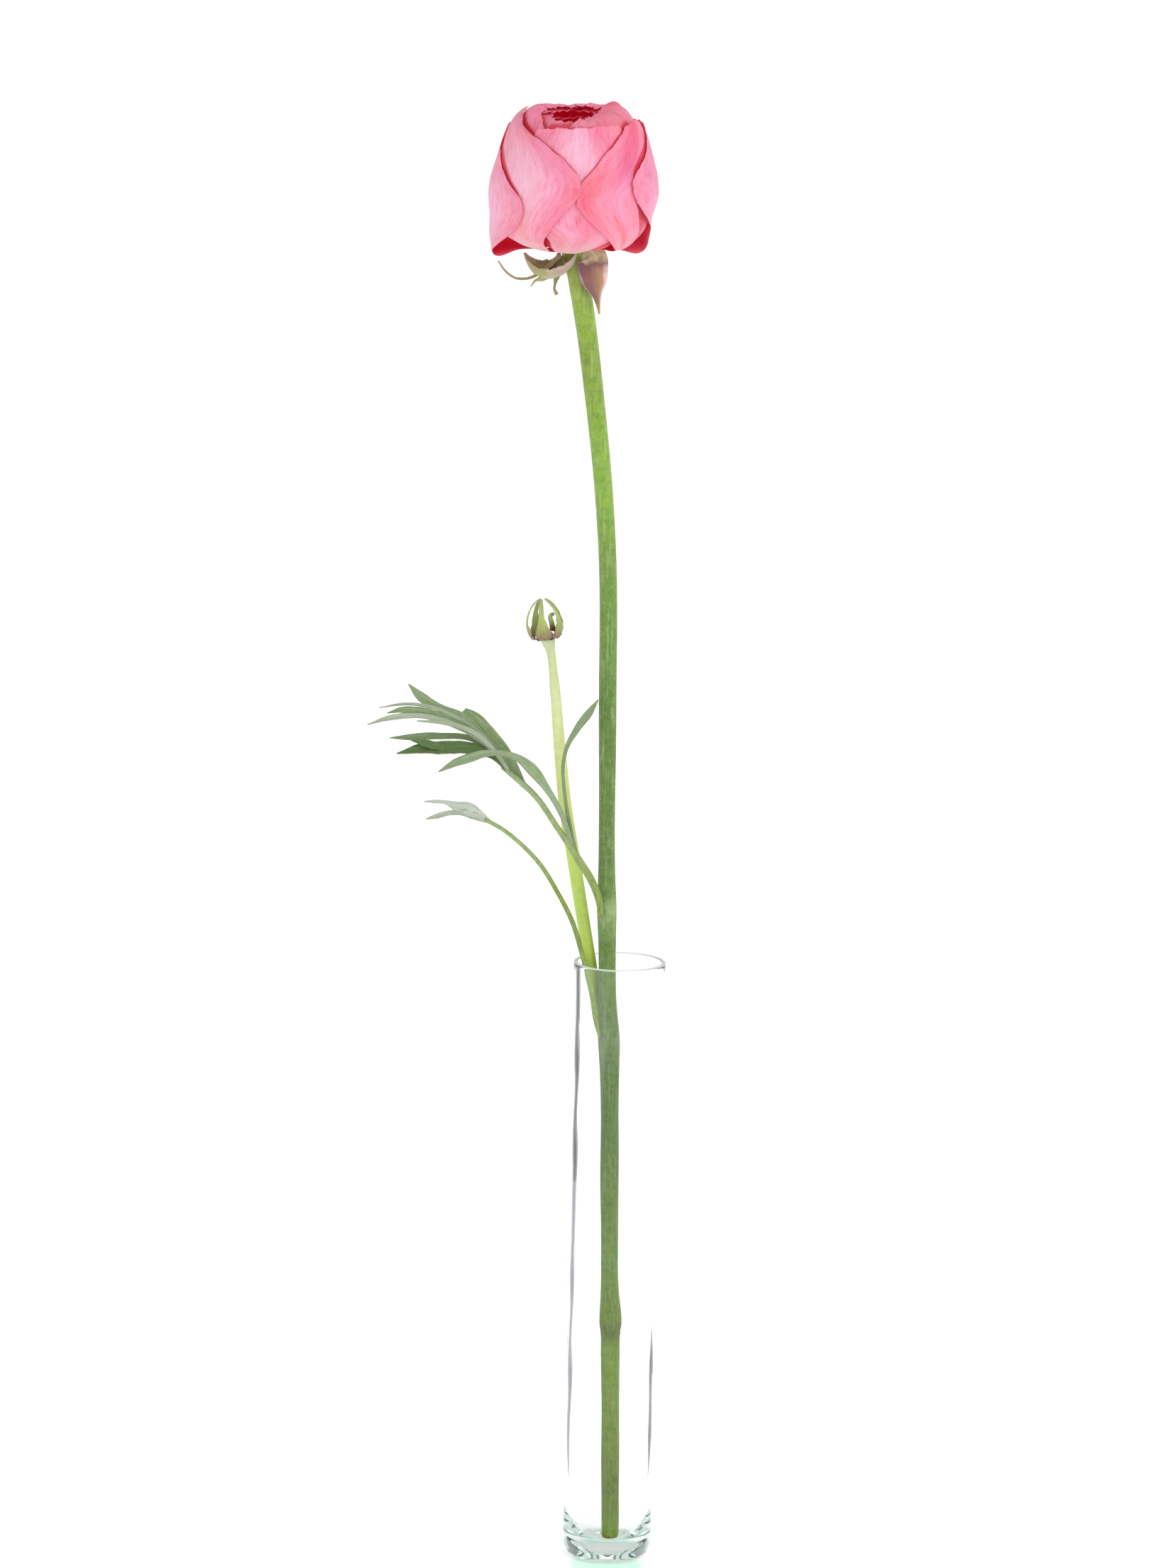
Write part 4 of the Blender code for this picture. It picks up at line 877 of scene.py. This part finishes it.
lowerLeaf = {"stalk": [(-5.2, -2.3, 148.8, 0.3), (-6.1, -2.5, 153, 0.65), (-7.5, -1.9, 161.3, 0.75),
                       (-9.2, -1.5, 167.5, 0.7), (-10.3, -1.3, 171.3, 0.7), (-13.5, -1.2, 181.3, 0.7),
                       (-17.8, -1.1, 189.5, 0.65), (-22.7, -1.0, 197.1, 0.65), (-28.5, -0.8, 203, 0.6),
                       (-33.8, -0.7, 207, 0.6), (-38.2, -0.6, 209.3, 0.6)],
             "ribs": [([(-36.5, -0.6, 208.4, 1.0), (-39.5, -0.7, 210.3, 2.6), (-42.8, -0.9, 212, 4.0),
                        (-46.5, -1.2, 213, 2.6), (-49.1, -1.4, 214, 1.2), (-52, -1.6, 214.2, 1.0),
                        (-55.1, -1.8, 214.2, 0.3)], (-0.1, -0.9, 0.45), 20, 0.95),
                      ([(-36.8, -0.7, 208.6, 1.0), (-41.5, -1.2, 210.4, 2.4), (-44.3, -1.7, 211.2, 2.0),
                        (-47.7, -2.2, 211.2, 1.6), (-51.4, -2.7, 210.3, 1.6), (-54.5, -3.2, 209.5, 0.3)],
                       leafFace, 20, 0.85),],}


def bladeSheet(line, face, cup, thickness, rows=44, columns=11, seed=0, wave=0.08, down=None):
    # a cupped blade along rows of (x, y, z, width); a positive cup is hollow towards its face
    narrowest, grooveDepth, grooveWidth, marginShare, wavePitch = 0.12, 0.05, 0.25, 0.35, 12
    line = smoothLine(line, rows)
    centres, widths = line[:, :3], np.maximum(line[:, 3], narrowest)
    along = np.gradient(centres, axis=0)
    along /= np.linalg.norm(along, axis=1)[:, None]
    facing = np.array(face, dtype=float)
    facing = facing - along * (along @ facing)[:, None]
    facing /= np.linalg.norm(facing, axis=1)[:, None]
    side = np.cross(along, facing)
    share, across = np.meshgrid(np.linspace(0, 1, rows), np.linspace(-1, 1, columns), indexing="ij")
    half = math.radians(abs(cup))
    radius = (widths / (2 * half))[:, None]
    lift = radius * (1 - np.cos(across * half)) * math.copysign(1, cup)
    lift = lift - grooveDepth * widths[:, None] * np.exp(-((across / grooveWidth) ** 2))  # along the midrib
    lift = lift + wave * widths[:, None] * across**2 * ripple(share * len(line), seed + (across > 0) * 1,
                                                              wavePitch)
    grid = (centres[:, None, :] + (radius * np.sin(across * half))[:, :, None] * side[:, None, :]
            + lift[:, :, None] * facing[:, None, :])
    thin = thickness * (marginShare + (1 - marginShare) * (1 - across**2))
    thin = thin * np.minimum(1, widths[:, None] / (1.5 * thickness))
    values = {} if down is None else {"down": np.full_like(share, down)}
    return sheetParts(grid, thin, np.stack([(across + 1) / 2, share], axis=2), values)


def leafMaterials():
    # Ranunculus leaf: thin matt blade under silky down, dark green where the down is thin and silvery where
    # it is dense, with fine streaks along the veins and a brown-edged margin
    made = []
    for name, shift in (("silky grey green leaf face", 0.0), ("pale leaf underside", 0.25)):
        material, tree = newMaterial(name)
        place = addNode(tree, "ShaderNodeTexCoord")
        sides = addNode(tree, "ShaderNodeSeparateXYZ", None, {0: place.outputs["UV"]})
        noise = addNode(tree, "ShaderNodeTexNoise", {"Scale": 900.0, "Detail": 3.0, "Roughness": 0.6},
                        {"Vector": place.outputs["Object"]})
        vein = stretchedNoise(tree, place.outputs["UV"], (9, 3.0, 1), {"Detail": 3.0, "Roughness": 0.6})
        down = addNode(tree, "ShaderNodeAttribute", {"attribute_name": "down"})
        streaked = addNode(tree, "ShaderNodeMath", {"operation": "MULTIPLY_ADD", 1: 0.9},
                           {0: vein.outputs["Fac"], 2: down.outputs["Fac"]})
        spotted = addNode(tree, "ShaderNodeMath", {"operation": "MULTIPLY_ADD", 1: 0.3},
                          {0: noise.outputs["Fac"], 2: streaked.outputs[0]})
        tone = addNode(tree, "ShaderNodeMath", {"operation": "ADD", 1: shift - 0.6}, {0: spotted.outputs[0]})
        green = addNode(tree, "ShaderNodeValToRGB",
                        {"stops": [(0.0, "#4c6934"), (0.25, "#5f7c44"), (0.5, "#839a68"), (0.75, "#a2b196"),
                                   (1.0, "#c3cbc0")]}, {0: tone.outputs[0]})
        apart = fromMiddle(tree, sides)
        edge = addNode(tree, "ShaderNodeMapRange", {"From Min": 0.42, "From Max": 0.5, "To Max": 0.5},
                       {"Value": apart.outputs[0]})
        brown = addNode(tree, "ShaderNodeMix", {"data_type": "RGBA", 7: linear("#93796a")},
                        {0: edge.outputs[0], 6: green.outputs[0]})
        grain = addNode(tree, "ShaderNodeBump", {"Strength": 0.5, "Distance": 0.0003},
                        {"Height": vein.outputs["Fac"]})
        finishMaterial(tree, {"Roughness": 0.6, "Specular IOR Level": 0.35, "Sheen Weight": 0.15},
                       {"Base Color": brown.outputs[2], "Normal": grain.outputs[0]})
        made.append(material)
    return made


def buildLeaves():
    face, under = leafMaterials()
    stalkGreen = stemMaterial("green leaf stalk", leafStalk)
    stalkSlot = 2.0
    for name, leaf in (("divided_leaf", dividedLeaf), ("lower_leaf", lowerLeaf)):
        parts = [bladeSheet(line, way, cup, leafThickness, seed=number * 3, down=down)
                 for number, (line, way, cup, down) in enumerate(leaf["ribs"])]
        points, faces, _, uv, _ = tubeParts(smoothLine(leaf["stalk"], leafStalk["rings"]), leafStalk["sides"])
        parts.append((points, faces, np.full(len(faces), stalkSlot), uv, {"down": np.zeros(len(points))}))
        ridePiece(finePiece("fine_" + name, joinParts(parts), [face, under, stalkGreen]), [name])
    print("leaves ready")


sepals = [
    {"line": [(-14.0, -1.8, 368.6, 4.5), (-12.2, -3.2, 367.6, 8.0), (-11.4, -3.9, 362.8, 8.6),
              (-10.8, -3.7, 359.3, 6.6), (-10.4, -3.5, 357, 3.4), (-10.0, -3.2, 354.1, 1.4),
              (-9.6, -3.1, 351.3, 0.5)], "face": (0.1, -1, 0.1),
     "cup": -35, "wave": 0.05},
    {"line": [(-16.3, -1.2, 368.2, 4), (-17.6, -1.4, 364.8, 8.5), (-20.6, -1.6, 362.2, 10.5),
              (-24.3, -1.7, 361.2, 12), (-27.6, -1.8, 362.6, 9.5), (-29.6, -1.9, 365.2, 4.5),
              (-30.6, -2.0, 367.6, 1.0)], "face": (-0.1, -0.2, 1),
     "cup": 82, "wave": 0.03},
    {"line": [(-20.3, 0.2, 366.8, 2.4), (-24.5, -0.9, 363, 3), (-28.6, -1.2, 360.5, 2),
              (-32.5, -1.4, 360.3, 1.4), (-35.6, -1.5, 362.3, 1.0), (-37.6, -1.5, 365.2, 0.5)],
              "face": (-0.3, -0.3, 1), "cup": 35, "wave": 0.05},
    {"line": [(-20.7, 3.7, 366.9, 2.8), (-22.4, 2.4, 361.8, 6.5), (-25.2, 1.8, 359.8, 5.6),
              (-27.2, 1.6, 359.4, 2.0), (-28.6, 1.8, 357.8, 0.7)], "face": (-0.5, 0.1, 0.8), "cup": 60,
              "wave": 0.05},
    {"line": [(-17.5, 5.6, 366.9, 3), (-19.6, 5.2, 363, 4.5), (-21.5, 4.4, 360.3, 2.0),
              (-21.9, 4.2, 358.4, 0.9), (-22.1, 4.2, 356.9, 0.8), (-21.4, 4.2, 355.4, 1.2)],
              "face": (-0.3, 0.9, 0.4), "cup": 30, "wave": 0.05},
]
sepalSheet = {"thickness": 0.22, "rows": 50, "columns": 17}
bud = {"base": (-22.2, 5.8, 259.6), "lean": 8.0, "angles": [-8, 58, 118, -148, -84], "cup": 25,
       "sheet": {"thickness": 0.25, "rows": 40, "columns": 11},
       "innerSheet": {"thickness": 0.22, "rows": 24, "columns": 9},
       "curve": [(1.6, 0.3, 2.2), (3.7, 0.1, 4.6), (4.7, 1.9, 4.6), (5.0, 4.2, 3.0), (4.7, 6.2, 1.8),
                 (3.6, 8.4, 1.4), (2.3, 10, 1.1), (1.0, 10.9, 0.7)],
       "inner": [(-20.6, 4.9, 261.7, 1.6), (-20.9, 4.0, 264.0, 1.5), (-21.3, 4.2, 266.0, 1.2),
                 (-20.3, 5.0, 266.6, 0.9)],}
# Withered sepals are thin dry skin, purple brown or green, with folded pale margins, and bud sepals are still
# soft. "along" runs from the root to the tip, "across" from margin to margin, and "mask" picks between them.
sepalTones = {
    "withered sepal purple brown": {
        "along": [(0.0, "#d6d2ae"), (0.2, "#cdc6a0"), (0.26, "#7f5058"), (0.32, "#7f5058"), (0.85, "#b9ab6a"),
                  (1.0, "#b5a565")],
        "mask": [(0.0, 1.0), (0.23, 0.95), (0.3, 0.5), (0.38, 0.0), (0.8, 0.0), (0.95, 0.8)],
        "across": [(0.0, "#e6d0d2"), (0.14, "#dcbcb8"), (0.22, "#b8906a"), (0.42, "#a8866a"),
                   (0.6, "#94685f"), (0.9, "#8a5c66"), (1.0, "#c0a0a0")],
        "scale": 400.0, "roughness": 0.6},
    "withered sepal pale outside": {
        "along": [(0.0, "#cfc4b4"), (0.3, "#b8a094"), (0.48, "#b3ab80"), (0.6, "#959f55"), (0.8, "#a09f62"),
                  (1.0, "#c28f90")],
        "mask": [(0.0, 0.5), (0.5, 0.6), (0.65, 0.85), (1.0, 0.6)],
        "across": [(0.0, "#e2c9c6"), (0.14, "#cda9a4"), (0.28, "#c4b298"), (0.5, "#d5cfc0"),
                   (0.75, "#c4b298"), (1.0, "#e2c9c6")],
        "scale": 500.0, "roughness": 0.6},
    "green sepal inside": {
        "along": [(0.0, "#ced3a0"), (0.6, "#c0ca88"), (1.0, "#d8c2b0")],
        "mask": [(0.0, 0.8), (1.0, 0.8)],
        "across": [(0.0, "#ecd8d4"), (0.15, "#c9cfa0"), (0.85, "#c9cfa0"), (1.0, "#ecd8d4")],
        "scale": 500.0, "roughness": 0.6},
    "soft green bud sepal": {
        "along": [(0.0, "#8a6656"), (0.2, "#8f7058"), (0.36, "#a3a763"), (0.6, "#b3cc74"), (1.0, "#b9b98c")],
        "mask": [(0.0, 1.0), (1.0, 0.7)],
        "across": [(0.0, "#c8c29c"), (0.3, "#b4cc78"), (0.7, "#b4cc78"), (1.0, "#c8c29c")],
        "scale": 700.0, "roughness": 0.5},
}


def bladeMaterial(name, along, mask, across, scale, roughness):
    blur = 0.2  # how far the noise moves the borders between colours
    material, tree = newMaterial(name)
    place = addNode(tree, "ShaderNodeTexCoord")
    sides = addNode(tree, "ShaderNodeSeparateXYZ", None, {0: place.outputs["UV"]})
    noise = addNode(tree, "ShaderNodeTexNoise", {"Scale": scale, "Detail": 3.0},
                    {"Vector": place.outputs["Object"]})
    ramps = []
    for axis, stops in (("Y", along), ("Y", mask), ("X", across)):
        shifted = addNode(tree, "ShaderNodeMath", {"operation": "MULTIPLY_ADD", 1: blur},
                          {0: noise.outputs["Fac"], 2: sides.outputs[axis]})
        back = addNode(tree, "ShaderNodeMath", {"operation": "SUBTRACT", 1: blur / 2},
                       {0: shifted.outputs[0]})
        ramps.append(addNode(tree, "ShaderNodeValToRGB", {"stops": stops}, {0: back.outputs[0]}))
    colour = addNode(tree, "ShaderNodeMix", {"data_type": "RGBA"},
                     {0: ramps[1].outputs[0], 6: ramps[2].outputs[0], 7: ramps[0].outputs[0]})
    vein = stretchedNoise(tree, place.outputs["UV"], (26, 2.0, 1), {"Detail": 2.0})
    streak = addNode(tree, "ShaderNodeMapRange", {"From Min": 0.35, "From Max": 0.65, "To Max": 0.5},
                     {"Value": vein.outputs["Fac"]})
    veined = addNode(tree, "ShaderNodeMix",
                     {"data_type": "RGBA", "blend_type": "MULTIPLY", 7: linear("#c9bcae")},
                     {0: streak.outputs[0], 6: colour.outputs[2]})
    grain = addNode(tree, "ShaderNodeBump", {"Strength": 0.4, "Distance": 0.0002},
                    {"Height": vein.outputs["Fac"]})
    finishMaterial(tree, {"Roughness": roughness, "Specular IOR Level": 0.35, "Sheen Weight": 0.1},
                   {"Base Color": veined.outputs[2], "Normal": grain.outputs[0]})
    return material


def buildSepals():
    purple, pale, green, fresh = (bladeMaterial(name, **tones) for name, tones in sepalTones.items())
    for number, sepal in enumerate(sepals):
        part = bladeSheet(**sepal, **sepalSheet, seed=number * 5 + 2)
        paint = [purple, purple] if number == 0 else [green, pale]
        name = f"sepal_{number + 1}"
        ridePiece(finePiece("fine_" + name, part, paint), [name])

    lean = math.radians(-bud["lean"])
    turnBack = np.array([[math.cos(lean), 0, math.sin(lean)], [0, 1, 0],
                         [-math.sin(lean), 0, math.cos(lean)]])
    for number, angle in enumerate(bud["angles"]):
        turn = math.radians(angle)
        outward = np.array([math.sin(turn), -math.cos(turn), 0])
        line = []
        for radius, height, width in bud["curve"]:
            line.append((*(turnBack @ (outward * radius + [0, 0, height]) + bud["base"]), width))
        part = bladeSheet(line, turnBack @ (-outward + [0, 0, 0.15]), bud["cup"], **bud["sheet"], seed=number)
        name = f"bud_sepal_{number + 1}"
        ridePiece(finePiece("fine_" + name, part, [fresh]), [name])
    part = bladeSheet(bud["inner"], (0.2, 1, 0), bud["cup"], **bud["innerSheet"])
    ridePiece(finePiece("fine_bud_inner_sepal", part, [fresh]), ["bud_inner_sepal"])
    print("sepals and bud ready")


vase = {
    "height": 170.0, "radius": 12.3, "wall": 1.2, "lip": 1.15, "lipFlare": 0.5, "floor": 1.2, "bowl": 13.0,
    "bowlCurve": 0.9, "sides": 160, "wallRows": 120, "bowlRows": 22, "waveOut": 0.015, "waveIn": 0.03,
    "seed": 31,
    # the foot's outline as (radius, height), how far down the lip's flare reaches, how deep its top is
    # painted pale as a painted highlight, and how high the middle of the underside stands
    "foot": [(3.0, 0.25), (6.5, 0.12), (8.2, 0.0), (9.4, 0.15), (10.6, 0.6), (11.5, 1.5), (12.0, 2.8),
             (12.25, 4.5)],
    "footHeight": 6.0, "flareLength": 14, "paintedLightLip": 0.4, "underside": 0.3,
    "ironTint": (0.35, 0.80, 0.62, 1.0), "ironDensity": 14.0,
}


def glassMaterial():
    # Drawn soda-lime glass: fire-polished and clear, with the faint green of iron where it is thick
    material, tree = newMaterial("clear drawn soda-lime glass")
    shader = addNode(tree, "ShaderNodeBsdfPrincipled",
                     {"Base Color": linear("#ffffff"), "Roughness": 0.0, "IOR": 1.5,
                      "Transmission Weight": 1.0})
    tint = addNode(tree, "ShaderNodeVolumeAbsorption",
                   {"Color": vase["ironTint"], "Density": vase["ironDensity"]})
    addNode(tree, "ShaderNodeOutputMaterial", None, {"Surface": shader.outputs[0], "Volume": tint.outputs[0]})
    return material


def buildVase():
    inner = vase["radius"] - vase["wall"]
    top, flare, outer, lip = vase["height"], vase["lipFlare"], vase["radius"], vase["lip"]
    straight = top - vase["flareLength"]
    profile = vase["foot"] + [(outer, z) for z in np.linspace(vase["footHeight"], straight, vase["wallRows"])]
    profile += [(outer + 0.1 * flare, top - 9), (outer + 0.3 * flare, top - 5),
                (outer + 0.6 * flare, top - 2.6), (outer + flare, top - 0.9),
                (outer + flare - 0.03, top - 0.35), (outer + flare - 0.15, top - 0.08),
                (outer + flare - lip / 2, top), (outer + flare - lip + 0.15, top - 0.08),
                (outer + flare - lip + 0.03, top - 0.35), (outer + flare - lip, top - 0.9),
                (inner + 0.6 * flare, top - 2.6), (inner + 0.3 * flare, top - 5),
                (inner + 0.1 * flare, top - 9), (inner, straight)]
    profile += [(inner, z) for z in np.linspace(straight - 1, vase["floor"] + vase["bowl"], vase["wallRows"])]
    for degrees in np.linspace(4, 84, vase["bowlRows"]):
        a = math.radians(degrees)
        profile.append((inner * math.cos(a) ** vase["bowlCurve"],
                        vase["floor"] + vase["bowl"] * (1 - math.sin(a))))
    profile = np.array(profile)
    sides, count = vase["sides"], len(profile)
    turn, radius = np.meshgrid(np.linspace(0, 2 * math.pi, sides, endpoint=False), profile[:, 0])
    height = np.repeat(profile[:, 1][:, None], sides, axis=1)
    inside = (np.arange(count) > count // 2)[:, None]
    waves = np.where(inside, vase["waveIn"], vase["waveOut"]) * np.where(
        inside, swell(np.cos(turn) * 12, height * 0.35 + np.sin(turn) * 12, vase["seed"], 9),
        swell(np.cos(turn) * 12, height * 0.2 + np.sin(turn) * 12, vase["seed"] + 1, 14))
    onWall = smoothStep(2, 12, height) * (1 - smoothStep(top - 12, top - 4, height))
    radius = radius + waves * onWall
    points = np.stack([radius * np.cos(turn), radius * np.sin(turn), height], axis=2).reshape(-1, 3)
    points = np.concatenate([points, [[0, 0, vase["underside"]], [0, 0, vase["floor"]]]])
    faces = ringFaces(count, sides, len(points) - 2, len(points) - 1)
    # painted light: the rim's top faces get a pale, mostly opaque finish that stands in for the light the
    # clear rim gathers from the wall under it, so it shows as a pale line
    rim, tree = newMaterial("glass rim painted pale for gathered light")
    finishMaterial(tree, {"Base Color": linear("#f3faf6"), "Roughness": 0.3, "Transmission Weight": 0.3})
    paint = [1 if min(points[i][2] for i in face) > top - vase["paintedLightLip"] else 0 for face in faces]
    piece = makePiece("glass_tube", points, faces, [glassMaterial(), rim], paint)
    ridePiece(piece, ["glass_vase"])
    print("vase ready")


buildStudio()
buildPetals()
buildStems()
buildLeaves()
buildSepals()
buildVase()
